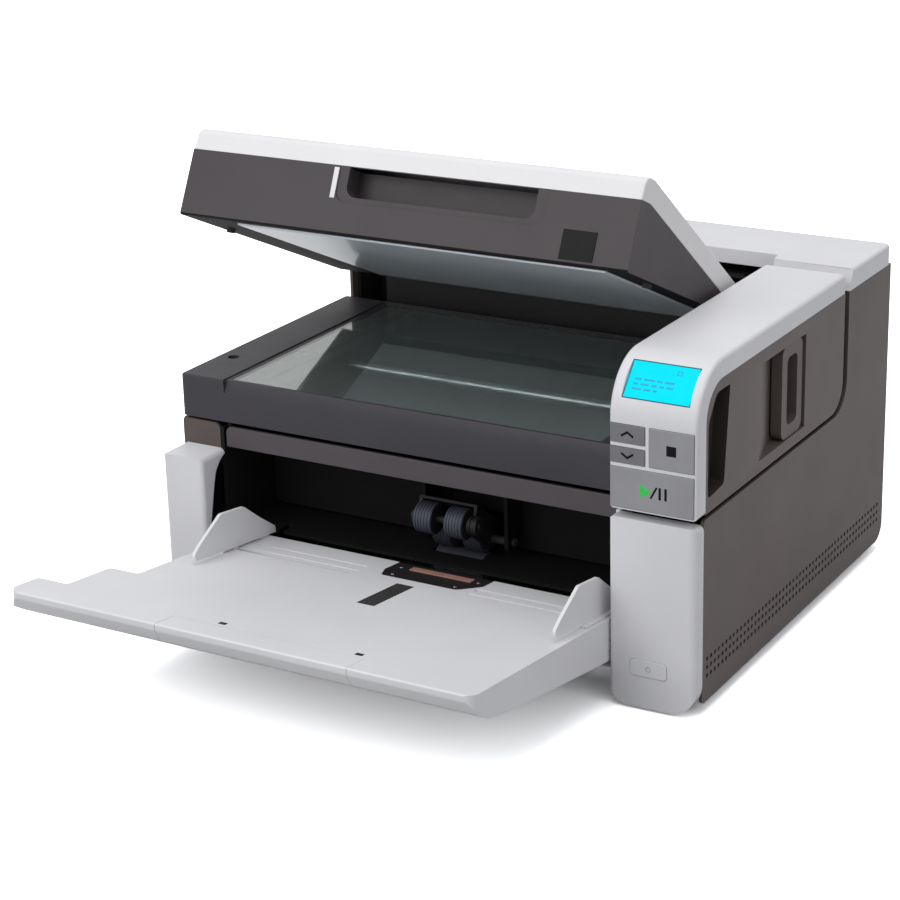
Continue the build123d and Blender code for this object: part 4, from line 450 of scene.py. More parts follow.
@dataclass
class Palette:
    """All finishes of the scanner, each built once.

    Attributes:
        made: the materials that exist so far, by finish name.
    """

    made: dict[str, bpy.types.Material] = field(default_factory=dict)

    # Textured ABS: the even satin of office casings; its 0.3 mm grain is drawn at 1 mm to show.
    light = Finish("textured_light_abs", "#E1E1E3", "#DBDBDE", 0.46, 90, 0.9, 0.012, 0.4)
    side = Finish("textured_taupe_abs", "#564D49", "#504847", 0.5, 120, 0.9, 0.02, 0.3)
    # The side panel's finger recess is drawn darker than the side, as painted shade.
    recess = Finish("taupe_abs_painted_shade", "#332D2B", "#2E2928", 0.55, 60, 0.9, 0.02, 0.25)
    # The arm and the band catch less light here than in the photo, so they are a little lighter.
    arm = Finish("taupe_abs_painted_light", "#5E5551", "#584F4D", 0.5, 120, 0.9, 0.02, 0.3)
    band = Finish("graphite_abs_painted_light", "#4F4A4E", "#4A4549", 0.5, 90, 0.9, 0.02, 0.3)
    bed = Finish("textured_charcoal_abs", "#37353A", "#323035", 0.5, 80, 0.9, 0.02, 0.3)
    lid_grey = Finish("textured_graphite_abs", "#433E41", "#3E393C", 0.5, 90, 0.9, 0.02, 0.3)
    black = Finish("matt_black_abs", "#1A1819", "#151314", 0.6, 60, 1.0, 0.02, 0.3)
    # Black plastic drawn darker still, as painted shade, for the lid's underside and for parts deep
    # inside the casing.
    black_with_painted_shade = Finish("black_abs_with_painted_shade", "#0C0B0C", "#080708", 0.75, 60, 1.0, 0.02, 0.2)
    ramp = Finish("matt_umber_ramp_film", "#231F20", "#1D1A1A", 0.5, 30, 0.6, 0.01, 0.3)
    white = Finish("satin_white_abs", "#E6E5E6", "#E1E0E1", 0.4, 110, 0.9, 0.01)
    # Painted keys: silver lacquer, smoother and shinier than the casing.
    key = Finish("silver_lacquered_keys", "#98989B", "#8E8E92", 0.36, 30, 0.6, 0.006)
    small_key = Finish("grey_lacquered_arrow_keys", "#747478", "#6C6C70", 0.38, 30, 0.6, 0.006)
    nylon = Finish("natural_nylon", "#DAD8CE", "#CFCCC0", 0.42, 12, 0.7, 0.01)
    # Ground rubber: matt and dark; the pick tyres are a blue grey with fine turned lines.
    rubber = Finish("ground_black_rubber", "#242424", "#1B1B1B", 0.78, 15, 0.5, 0.03)
    tyre = RibbedRubber("ribbed_grey_polyurethane", "#3C404F", "#2A2D38", 0.6, 15, 0.8, 0.08)
    drive_tyre = RibbedRubber("ribbed_dark_epdm", "#33353C", "#222429", 0.7, 15, 0.8, 0.1)
    steel = BrushedMetal("drawn_steel_shaft", "#B4B5B8", "#9B9CA0", 0.32, 20, 0.4, 0.01)
    zinc = BrushedMetal("zinc_plated_sheet", "#AEB1B5", "#979BA1", 0.4, 18, 1.2, 0.02)
    strip = Finish("salmon_polyester_film", "#A87E73", "#997268", 0.5, 8, 0.5, 0.005, 0.3)
    glass = FloatGlass("float_glass", "#F2FAF7", "#E9F5F1", 0.03, 150, 30, 0.002)
    window = LitScreen("backlit_cyan_display", "#00BECE", "#00B6C9", 0.24, 30, 0.5, 0.003, 0.1)
    # The display's sunk edge is drawn in a darker cyan, as painted shade.
    display_edge_shade = Finish("display_edge_painted_shade", "#175B70", "#124F62", 0.5, 10, 0.4, 0.005)
    board = SolderMask("green_solder_mask", "#1C5A34", "#2C7A48", 0.35, 20, 0.8, 0.02)
    film = PolishedPlastic("white_platen_film", "#DCE4EA", "#CCD6DE", 0.3, 120, 8, 0.01, coat=0.25)
    badge = Finish("satin_black_plate", "#0C0C0E", "#08080A", 0.5, 10, 0.6, 0.002, 0.15)
    dark_ink = Ink("black_pad_printing", "#0C0C0E", "#08080A", 0.6, 4, 0.3, 0.005, 0.1)
    # The green print is given a faint glow of its own, as painted light.
    green_ink = Ink("green_pad_printing", "#28B848", "#1FA83E", 0.5, 4, 0.3, 0.005, glow=0.25)
    screen_ink = Ink("display_segments", "#1795BC", "#128AB0", 0.4, 4, 0.3, 0.001, glow=0.3)
    mark_ink = Ink("grey_pad_printing", "#A9A9AE", "#9E9EA4", 0.55, 4, 0.3, 0.003)

    def get(self, finish: Finish) -> bpy.types.Material:
        """Find the material of a finish, or build it at its first use.

        Args:
            finish: the finish.

        Returns:
            Its material.
        """
        if finish.name not in self.made:
            self.made[finish.name] = finish.build()
        return self.made[finish.name]


class Shaper:
    """Edit-mode modelling of small pieces and softened copies, in metres."""

    @staticmethod
    def clear() -> None:
        """Leave edit mode and deselect everything."""
        if bpy.context.object and bpy.context.object.mode != "OBJECT":
            bpy.ops.object.mode_set(mode="OBJECT")
        bpy.ops.object.select_all(action="DESELECT")

    @staticmethod
    def take(piece: Piece) -> None:
        """Make a piece the only selected and active object.

        Args:
            piece: the object.
        """
        Shaper.clear()
        piece.select_set(True)
        bpy.context.view_layer.objects.active = piece

    @staticmethod
    def settle(piece: Piece, name: str) -> Piece:
        """Name a piece and put its place into its mesh.

        Args:
            piece: the object to settle.
            name: its name.

        Returns:
            The same object, at the origin, unturned and unscaled.
        """
        Shaper.take(piece)
        bpy.ops.object.transform_apply(location=True, rotation=True, scale=True)
        piece.name = name
        piece.data.name = name
        return piece

    @staticmethod
    def edit(piece: Piece, steps: Callable[[], object]) -> None:
        """Run edit-mode steps on a whole piece.

        Args:
            piece: the object to edit.
            steps: the operators to run.
        """
        Shaper.take(piece)
        bpy.ops.object.mode_set(mode="EDIT")
        bpy.ops.mesh.select_mode(type="FACE")
        bpy.ops.mesh.select_all(action="SELECT")
        steps()
        bpy.ops.object.mode_set(mode="OBJECT")

    @staticmethod
    def modify(piece: Piece, kind: str, **settings: object) -> None:
        """Add a modifier with its settings and apply it.

        Args:
            piece: the object to change.
            kind: the modifier's type.
            settings: its attributes.
        """
        Shaper.take(piece)
        modifier = piece.modifiers.new(kind.lower(), kind)
        for key, value in settings.items():
            setattr(modifier, key, value)
        bpy.ops.object.modifier_apply(modifier=modifier.name)

    @staticmethod
    def cuboid(name: str, centre: Sequence[float], size: Sequence[float],
               turn: Sequence[float] = (0, 0, 0)) -> Piece:
        """A plain cuboid, as a tool to cut with or a start for a block.

        Args:
            name: the piece's name.
            centre: its middle.
            size: its extent along its own axes.
            turn: Euler angles about X, Y and Z.

        Returns:
            The settled piece.
        """
        Shaper.clear()
        bpy.ops.mesh.primitive_cube_add(size=1, location=centre, rotation=turn, scale=size)
        return Shaper.settle(bpy.context.object, name)

    @staticmethod
    def cut(piece: Piece, tool: Piece) -> None:
        """Cut a tool out of a piece and remove the tool."""
        Shaper.modify(piece, "BOOLEAN", object=tool, operation="DIFFERENCE", solver="EXACT")
        bpy.data.objects.remove(tool)

    @staticmethod
    def block(name: str, centre: Sequence[float], size: Sequence[float],
              turn: Sequence[float] = (0, 0, 0), round_edge: float = 0.0) -> Piece:
        """A bar or plate with rounded edges.

        Args:
            name, centre, size, turn: as for a cuboid.
            round_edge: radius of its edges.

        Returns:
            The settled piece.
        """
        piece = Shaper.cuboid(name, centre, size, turn)
        if round_edge:
            Shaper.edit(
                piece, lambda: bpy.ops.mesh.bevel(offset=round_edge, segments=3, affect="EDGES")
            )
        Shaper.smooth(piece)
        return piece

    @staticmethod
    def disc(name: str, centre: Sequence[float], radius: float, depth: float,
             turn: Sequence[float], round_edge: float, sides: int) -> Piece:
        """A disc, stud or prism with its rim rounded.

        Args:
            name, centre, turn: as for a cuboid.
            radius: its radius.
            depth: its thickness.
            round_edge: radius of its rim.
            sides: how many sides it has.

        Returns:
            The settled piece.
        """
        Shaper.clear()
        bpy.ops.mesh.primitive_cylinder_add(
            vertices=sides, radius=radius, depth=depth, location=centre, rotation=turn
        )
        piece = Shaper.settle(bpy.context.object, name)
        rim_deg = 50
        Shaper.modify(piece, "BEVEL", width=round_edge, segments=3, limit_method="ANGLE",
                      angle_limit=math.radians(rim_deg))
        Shaper.smooth(piece)
        return piece

    @staticmethod
    def join(name: str, pieces: Sequence[Piece]) -> Piece:
        """Join loose pieces into one object.

        Args:
            name: its name.
            pieces: the pieces.

        Returns:
            The joined object.
        """
        Shaper.take(pieces[0])
        for piece in pieces[1:]:
            piece.select_set(True)
        if len(pieces) > 1:
            bpy.ops.object.join()
        pieces[0].name = name
        return pieces[0]

    @staticmethod
    def smooth(piece: Piece, angle_deg: float = 40.0) -> None:
        """Shade a piece smooth, apart from edges sharper than an angle."""
        Shaper.take(piece)
        bpy.ops.object.shade_smooth_by_angle(angle=math.radians(angle_deg))

    @staticmethod
    def copy_node(source: Piece, name: str) -> Piece:
        """A merged copy of a frame node, with flat stretches made whole again.

        Args:
            source: the node's object.
            name: the copy's name.

        Returns:
            The copy, with no parent.
        """
        piece = bpy.data.objects.new(name, source.data.copy())
        bpy.context.scene.collection.objects.link(piece)
        piece.data.materials.clear()
        gap, flat_deg = 0.01 * MM, 0.5

        def merge() -> None:
            """Merge corners that coincide and faces that lie flat beside each other."""
            bpy.ops.mesh.remove_doubles(threshold=gap)
            bpy.ops.mesh.dissolve_limited(angle_limit=math.radians(flat_deg))

        Shaper.edit(piece, merge)
        return piece

    @staticmethod
    def soften(piece: Piece, width: float, segments: int, angle_deg: float) -> None:
        """Round a piece's edges and spread its normals.

        Args:
            piece: the object to soften.
            width: the edge radius.
            segments: faces across each rounded edge.
            angle_deg: edges flatter than this stay.
        """
        Shaper.modify(piece, "BEVEL", width=width, segments=segments, limit_method="ANGLE",
                      angle_limit=math.radians(angle_deg), use_clamp_overlap=True,
                      miter_outer="MITER_ARC")
        Shaper.smooth(piece, angle_deg)
        Shaper.modify(piece, "WEIGHTED_NORMAL", keep_sharp=True)


@dataclass
class Assembly:
    """A group of the scanner's pieces that are dressed together.

    Attributes:
        palette: the finishes.
    """

    frame: dict
    palette: Palette

    def paint(self, finish: Finish, nodes: Iterable[str]) -> None:
        """Give frame nodes a finish without changing them.

        Args:
            finish: the finish.
            nodes: their names.
        """
        for node in nodes:
            materials = self.frame["nodes"][node].data.materials
            materials.clear()
            materials.append(self.palette.get(finish))
            LOG.info("painted %s", node)

    def skin(self, node: str, finish: Finish, slot: Slot, width_mm: float, segments: int = 2,
             accents: Sequence[tuple[Finish, Test]] = (),
             cuts: Sequence[Piece] = (), crease_deg: float = 32.0) -> None:
        """Stand a softened copy in for a frame node.

        Args:
            node: the frame node.
            finish: the copy's finish.
            slot: the record slot it belongs to.
            width_mm: radius of its edges.
            segments: faces across each rounded edge.
            accents: finishes for faces picked by centre and normal.
            cuts: tools that are cut out of it and removed.
            crease_deg: edges flatter than this are shaded smooth and stay as they are.
        """
        source = self.frame["nodes"][node]
        piece = Shaper.copy_node(source, node + "_skin")
        for tool in cuts:
            Shaper.cut(piece, tool)
        Shaper.soften(piece, width_mm * MM, segments, crease_deg)
        self.dress(piece, source["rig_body"], finish, slot)
        for other, test in accents:
            piece.data.materials.append(self.palette.get(other))
            index = len(piece.data.materials) - 1
            for face in piece.data.polygons:
                if test(face.center, face.normal):
                    face.material_index = index
        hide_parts(node)

    def dress(self, piece: Piece, body: str, finish: Finish, slot: Slot) -> None:
        """Give a new piece its finish and its body.

        Args:
            piece: the object.
            body: the frame body it moves with.
            finish: its finish.
            slot: the record slot; not used.
        """
        piece.data.materials.clear()
        piece.data.materials.append(self.palette.get(finish))
        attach(piece, body)
        LOG.info("made %s on %s", piece.name, body)


@dataclass
class Lid(Assembly):
    """The raised lid: graphite shell, white cover, film pad, bumpers, arms and the bare badge.

    Attributes:
        open_deg: how far the lid stands open.
        hinge_y: the hinge line behind the origin.
        hinge_z: the hinge line above the floor.
    """

    open_deg: float = 24.4
    hinge_y: float = 223.5
    hinge_z: float = 209.0

    def opened(self, piece: Piece) -> Piece:
        """Turn a piece placed on the closed lid to where the lid stands.

        Args:
            piece: the piece to turn.

        Returns:
            The same piece.
        """
        hinge = Matrix.Translation((0, self.hinge_y * MM, self.hinge_z * MM))
        turn = Matrix.Rotation(math.radians(-self.open_deg), 4, "X")
        piece.data.transform(hinge @ turn @ hinge.inverted())
        return piece

    def make(self) -> None:
        """Build and dress the lid."""
        self.skin("lid_lower_shell", self.palette.lid_grey, Slot.LID, 0.7,
                  accents=[(self.palette.black_with_painted_shade, self.on_rim)])
        place, size = mm(-108.5, -52.2, 241.3), mm(7, 12, 3.2)
        notch = self.opened(Shaper.cuboid("notch", place, size))
        self.skin("lid_top_cover", self.palette.white, Slot.WHITE, 0.8, 3, cuts=[notch])
        self.skin("platen_backing_pad", self.palette.film, Slot.FILM, 0.9, 3)
        self.skin("badge_plate", self.palette.badge, Slot.BADGE, 0.15)
        self.paint(self.palette.rubber, ["lid_bumpers"])
        self.skin("lid_hinge_arms", self.palette.black, Slot.BLACK, 0.5)
        self.recess_painted_highlight()

    def on_rim(self, place: Vector, normal: Vector) -> bool:
        """Whether a face of the shell belongs to its underside or its rounded lower edge, which get
        painted shade.
        """
        tilt, least = math.radians(self.open_deg), 0.3
        return normal.dot(Vector((0, -math.sin(tilt), -math.cos(tilt)))) > least

    def recess_painted_highlight(self) -> None:
        """A white strip at the left end of the lid's finger recess, a painted highlight where its
        rounded edge catches the light.
        """
        place, size = mm(-91.0, -52.2, 212.0), mm(4.0, 1.0, 22)
        strip = Shaper.block("recess_end_painted_highlight", place, size, round_edge=0.4 * MM)
        self.dress(self.opened(strip), "lid", self.palette.white, Slot.WHITE)


@dataclass
class Flatbed(Assembly):
    """The flatbed housing, its glass, carriage and the frame and sensors under it."""

    def make(self) -> None:
        """Build and dress the flatbed."""
        self.skin("flatbed_housing", self.palette.bed, Slot.BED, 0.5)
        self.skin("lower_front_band", self.palette.band, Slot.LID, 0.6)
        self.skin("platen_glass", self.palette.glass, Slot.GLASS, 0.2)
        self.skin("scan_carriage", self.palette.black, Slot.BLACK, 0.6)
        self.paint(self.palette.steel, ["carriage_rail", "hinge_shaft"])
        self.skin("pod_frame", self.palette.black_with_painted_shade, Slot.BLACK, 0.3)
        self.paint(self.palette.black_with_painted_shade, ["upper_image_sensor"])


@dataclass
class ControlArm(Assembly):
    """The arm at the right: cap, side panel, display, keys and release handle.

    Attributes:
        tilt_deg: how far the display leans back.
        print_mm: thickness of printed symbols.
        print_round: radius of their edges.
        rows: widths of the display's rows of marks, as shares of its width.
    """

    tilt_deg: float = 48.0
    print_mm: float = 0.12
    print_round: float = 0.05
    rows: tuple[tuple[float, ...], ...] = (
        (0.10, 0.16, 0.08, 0.14),
        (0.07, 0.12, 0.09, 0.07, 0.1),
        (0.14, 0.1, 0.06),
    )

    def make(self) -> None:
        """Build and dress the arm."""
        palette = self.palette
        self.skin("control_arm_cap", palette.light, Slot.LIGHT, 0.5)
        self.skin("control_arm_panel", palette.arm, Slot.SIDE, 0.5,
                  accents=[(palette.recess, self.in_recess)])
        self.skin("display", palette.window, Slot.WINDOW, 0.5, 1,
                  accents=[(palette.display_edge_shade, self.on_border)])
        self.skin("release_handle", palette.arm, Slot.SIDE, 0.8, 3)
        self.paint(palette.board, ["control_board"])
        for key in ("button_up", "button_down"):
            self.skin(key, palette.small_key, Slot.KEY, 0.45, 3)
        for key in ("button_stop", "button_start"):
            self.skin(key, palette.key, Slot.KEY, 0.45, 3)
        self.chevron("button_up", 1)
        self.chevron("button_down", -1)
        self.stop_square()
        self.start_symbols()
        self.screen_marks()

    def in_recess(self, place: Vector, normal: Vector) -> bool:
        """Whether a face of the side panel lies inside the front finger recess, which gets painted
        shade.
        """
        sunk_x, behind_y = mm(212.8, -20)
        return place.x < sunk_x and place.y < behind_y

    def on_border(self, place: Vector, normal: Vector) -> bool:
        """Whether a face of the display belongs to its edge and not to its front; the edge gets
        painted shade.
        """
        tilt, squarely = math.radians(self.tilt_deg), 0.95
        return normal.dot(Vector((0, -math.sin(tilt), math.cos(tilt)))) < squarely

    def front(self, key: str) -> Vector:
        """Middle of a key's front face."""
        low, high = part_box(key)
        return Vector(((low.x + high.x) / 2, low.y, (low.z + high.z) / 2))

    def printed(self, key: str, name: str, bars: Sequence[tuple[float, ...]],
                finish: Finish) -> None:
        """Print bars on a key.

        Args:
            key: the key's node, which is also its body.
            name: the print's name.
            bars: for each its place across and up, length, width and turn, in mm and degrees.
            finish: the ink.
        """
        middle = self.front(key)
        pieces = []
        for across, up, length, width, turn in bars:
            centre = middle + Vector(mm(across, 0, up))
            size = (length * MM, 2 * self.print_mm * MM, width * MM)
            slant = (0, -math.radians(turn), 0)
            pieces.append(Shaper.block(name, centre, size, slant, self.print_round * MM))
        self.dress(Shaper.join(name, pieces), key, finish, Slot.KEY)

    def chevron(self, key: str, way: int) -> None:
        """Two slanted bars that meet.

        Args:
            key: the key they are printed on.
            way: 1 to point up, -1 to point down.
        """
        reach, length, width, slant_deg = 2.1, 5.6, 1.5, 34
        bars = [(side * reach, 0, length, width, -way * side * slant_deg) for side in (-1, 1)]
        self.printed(key, key + "_chevron", bars, self.palette.dark_ink)

    def stop_square(self) -> None:
        """The solid square on the stop key."""
        side = 7.0
        self.printed("button_stop", "stop_square", [(0, 0, side, side, 0)], self.palette.dark_ink)

    def start_symbols(self) -> None:
        """Green triangle, slash and two bars on the start key."""
        slash = (1.6, 0, 9.4, 1.3, 62)
        bars = [(across, 0, 8.4, 1.7, 90) for across in (6.0, 10.2)]
        self.printed("button_start", "start_slash_and_bars", [slash, *bars], self.palette.dark_ink)
        centre = self.front("button_start") + Vector(mm(-5.6, 0, 0))
        radius, thick, rim = mm(5.4, 2 * self.print_mm, self.print_round)
        wedge = Shaper.disc("start_triangle", centre, radius, thick, FACING_FRONT, rim, 3)
        middle = Matrix.Translation(centre)
        wedge.data.transform(middle @ Matrix.Rotation(math.radians(90), 4, "Y") @ middle.inverted())
        self.dress(wedge, "button_start", self.palette.green_ink, Slot.KEY)

    def screen_marks(self) -> None:
        """Rows of plain dashes and a small box on the display."""
        low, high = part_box("display")
        tilt = math.radians(self.tilt_deg)
        out = Vector((0, -math.sin(tilt), math.cos(tilt)))
        up = Vector((0, math.cos(tilt), math.sin(tilt)))
        width, tall, mark_tall, thick, lift = mm(48.4, 27.4, 1.3, 0.16, 0.05)
        start, top, step, gap = -0.40, 0.02, 0.13, 0.035  # shares of the display
        middle_y, middle_z = mm(-70.29, 230.52)
        face = Vector(((low.x + high.x) / 2, middle_y, middle_z)) + out * lift
        lean = (tilt, 0, 0)
        pieces = []
        for number, row in enumerate(self.rows):
            across = start * width
            rise = up * tall * (top - step * number)
            for share in row:
                length = share * width
                centre = face + Vector((across + length / 2, 0, 0)) + rise
                pieces.append(Shaper.block("mark", centre, (length, mark_tall, thick), lean))
                across += length + gap * width
        box_across, box_up, half_wide, half_tall = 0.22 * width, 0.3 * tall, *mm(1.6, 1.3)
        upright, level = mm(0.5, 3.0, 0.16), mm(3.6, 0.5, 0.16)
        for side, height in ((-1, 0), (1, 0), (0, 1), (0, -1)):
            shift = Vector((box_across + side * half_wide, 0, 0))
            centre = face + shift + up * (box_up + height * half_tall)
            pieces.append(Shaper.block("mark", centre, upright if side else level, lean))
        marks = Shaper.join("display_marks", pieces)
        self.dress(marks, "pod", self.palette.screen_ink, Slot.WINDOW)


@dataclass
class Casing(Assembly):
    """The base casing: posts, side panels, rear shell, covers, feet and what they hold.

    Attributes:
        screw_places: rear screws, across and up, in mm.
    """

    screw_places: tuple[tuple[float, float], ...] = (
        (-200, 30), (200, 64), (-200, 215), (200, 215), (0, 215), (0, 70),
    )

    def make(self) -> None:
        """Build and dress the casing."""
        palette = self.palette
        for node in ("left_front_post", "right_front_post"):
            self.skin(node, palette.light, Slot.LIGHT, 0.6)
        self.skin("power_button", palette.light, Slot.LIGHT, 0.4)
        self.paint(palette.side, ["left_side_panel", "right_side_panel"])
        self.skin("rear_shell", palette.side, Slot.SIDE, 0.35)
        self.skin("rear_exit_door", palette.side, Slot.SIDE, 0.35)
        self.skin("rear_top_cover", palette.light, Slot.LIGHT, 0.6)
        self.paint(palette.black, [
            "bottom_chassis", "rear_frame", "turn_guides", "fan_frame", "fan_rotor",
        ])
        self.paint(palette.black_with_painted_shade, ["transport_frame", "lower_image_sensor"])
        self.paint(palette.rubber, ["rubber_feet", "drive_belt", "exit_roller"])
        self.paint(palette.steel, ["casing_screws", "tray_hinge_pins"])
        self.paint(palette.drive_tyre, ["front_transport_roller", "rear_transport_roller"])
        self.paint(palette.zinc, ["drive_motor", "power_supply"])
        self.paint(palette.board, ["main_board"])
        self.paint(palette.nylon, ["motor_pulley"])
        self.power_mark()
        self.exit_ribs()
        self.rear_screws()

    def power_mark(self) -> None:
        """A faint ring and stroke on the power button."""
        low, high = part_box("power_button")
        centre = Vector(((low.x + high.x) / 2, low.y, (low.z + high.z) / 2))
        Shaper.clear()
        bpy.ops.mesh.primitive_torus_add(
            location=centre, rotation=FACING_FRONT, major_radius=1.7 * MM, minor_radius=0.22 * MM,
            major_segments=32, minor_segments=8,
        )
        ring = Shaper.settle(bpy.context.object, "power_mark")
        top = centre + Vector(mm(0, 0, 1.6))
        stroke = Shaper.block("power_stroke", top, mm(0.4, 0.3, 1.8))
        mark = Shaper.join("power_mark", [ring, stroke])
        Shaper.smooth(mark)
        self.dress(mark, "power_button", self.palette.mark_ink, Slot.LIGHT)

    def exit_ribs(self) -> None:
        """Ribs that steer sheets out of the exit slot, under the cover's brow."""
        low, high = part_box("turn_guides")
        count, inset, size = 22, 12 * MM, mm(1.4, 3.0, 1.6)
        pitch = (high.x - low.x - 2 * inset) / (count - 1)
        ribs = []
        for number in range(count):
            centre = Vector((low.x + inset + pitch * number, *mm(199.2, 234.2)))
            ribs.append(Shaper.block("rib", centre, size, round_edge=0.3 * MM))
        self.dress(Shaper.join("exit_slot_ribs", ribs), "base", self.palette.black, Slot.BLACK)

    def rear_screws(self) -> None:
        """Pan-head screws with a cross recess that hold the rear shell."""
        _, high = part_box("rear_shell")
        radius, thick, rim, sunk = mm(3.0, 1.2, 0.4, 0.3)
        long_arm, deep, short_arm = mm(3.2, 1.0, 0.7)
        screws = []
        for across, up in self.screw_places:
            centre = Vector((across * MM, high.y - sunk, up * MM))
            head = Shaper.disc("screw", centre, radius, thick, FACING_FRONT, rim, 24)
            for size in ((long_arm, deep, short_arm), (short_arm, deep, long_arm)):
                slot_place = centre + Vector((0, deep / 2, 0))
                Shaper.cut(head, Shaper.cuboid("cross", slot_place, size))
            Shaper.smooth(head)
            screws.append(head)
        self.dress(Shaper.join("rear_shell_screws", screws), "base", self.palette.steel, Slot.STEEL)


@dataclass
class Tray(Assembly):
    """The fold-down input tray with its extender, guides, pad and separation plate.

    Attributes:
        tilt_deg: how far the tray slopes down to the back.
        origin_y: where its top face passes over the hinge.
        origin_z: the height there.
        raised: what stands higher than this on the plate is the strip or a rivet.
    """

    tilt_deg: float = 6.57
    origin_y: float = -75.21
    origin_z: float = 60.87
    raised: float = 0.1

    @property
    def turn(self) -> Triple:
        """The tray's slope as Euler angles."""
        return -math.radians(self.tilt_deg), 0, 0

    def at(self, across: float, back: float, out: float) -> Vector:
        """Find where a place on the tray is in the scene.

        Args:
            across: its place to the right, in mm.
            back: its place along the tray.
            out: its height above the tray's top.

        Returns:
            The place in metres.
        """
        tilt = math.radians(self.tilt_deg)
        y = self.origin_y + back * math.cos(tilt) + out * math.sin(tilt)
        z = self.origin_z - back * math.sin(tilt) + out * math.cos(tilt)
        return Vector((across, y, z)) * MM

    def local(self, place: Vector) -> Vector:
        """Find where a place in the scene is on the tray.

        Args:
            place: the place in metres.

        Returns:
            Its distance across, back and out, in mm.
        """
        tilt = math.radians(self.tilt_deg)
        y, z = place.y / MM - self.origin_y, place.z / MM - self.origin_z
        back = y * math.cos(tilt) - z * math.sin(tilt)
        return Vector((place.x / MM, back, y * math.sin(tilt) + z * math.cos(tilt)))

    def groove(self, span: tuple[float, float], back: float) -> Piece:
        """A cutter for a shallow line across the tray's top.

        Args:
            span: where it starts and ends, in mm.
            back: its place along the tray.

        Returns:
            The cutter.
        """
        left, right = span
        wide, tall = 2.0, 1.4
        size = mm(right - left, wide, tall)
        return Shaper.cuboid("groove", self.at((left + right) / 2, back, 0), size, self.turn)

    def make(self) -> None:
        """Build and dress the tray."""
        palette = self.palette
        spans, backs = ((-161, -44), (45, 148)), (-0.8, -13.0)
        lines = [self.groove(span, back) for back in backs for span in spans]
        self.skin("input_tray", palette.light, Slot.LIGHT, 0.4, cuts=lines, crease_deg=24.0)
        self.skin("tray_extender", palette.light, Slot.LIGHT, 0.4, crease_deg=24.0)
        for node in ("left_side_guide", "right_side_guide"):
            self.skin(node, palette.light, Slot.LIGHT, 0.3)
        self.skin("pre_separation_plate", palette.ramp, Slot.BLACK, 0.12, accents=[
            (palette.strip, self.on_strip),
            (palette.steel, self.on_rivet),
        ])
        self.skin("tray_friction_pad", palette.rubber, Slot.RUBBER, 0.2)
        self.paint(palette.nylon, ["guide_pinion"])
        size = mm(5.5, 3.6, 0.9)
        for across, name in ((-53, "left_lip_stop"), (53, "right_lip_stop")):
            stop = Shaper.block(name, self.at(across, -164.0, -0.1), size, self.turn, 0.3 * MM)
            self.dress(stop, "tray", palette.black, Slot.BLACK)

    def on_strip(self, place: Vector, normal: Vector) -> bool:
        """Tell whether a face belongs to the plate's raised strip.

        Args:
            place: the face's centre.
            normal: its normal, which all such tests are given; not used here.

        Returns:
            True if it does.
        """
        spot = self.local(place)
        left, right, front, back = -16, 36, 8.5, 16.5
        return spot.z > self.raised and left < spot.x < right and front < spot.y < back

    def on_rivet(self, place: Vector, normal: Vector) -> bool:
        """Whether a face belongs to one of the plate's rivets."""
        spot = self.local(place)
        return spot.z > self.raised and not self.on_strip(place, normal)


@dataclass
class FeedModule(Assembly):
    """The feed and pick rollers on their swinging frame, and the separation roller below.

    Attributes:
        tyre_share: inner radius of the tyres, as a share of the outer.
    """

    tyre_share: float = 0.75

    def make(self) -> None:
        """Build and dress the module."""
        palette = self.palette
        self.skin("feed_module_frame", palette.black, Slot.BLACK, 0.4)
        self.paint(palette.drive_tyre, ["feed_roller", "separation_roller"])
        self.skin("pick_roller", palette.tyre, Slot.ROLLER, 0.1, 1,
                  accents=[(palette.black, self.hub_test())])

    def hub_test(self) -> Test:
        """Make the test for faces of the pick roller that lie inside its tyres.

        Returns:
            The test, true for the shaft, the hubs and the ends of the tyres.
        """
        low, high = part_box("pick_roller")
        axis = (low + high) / 2
        inner = self.tyre_share * (high.z - low.z) / 2
        return lambda place, normal: math.hypot(place.y - axis.y, place.z - axis.z) < inner


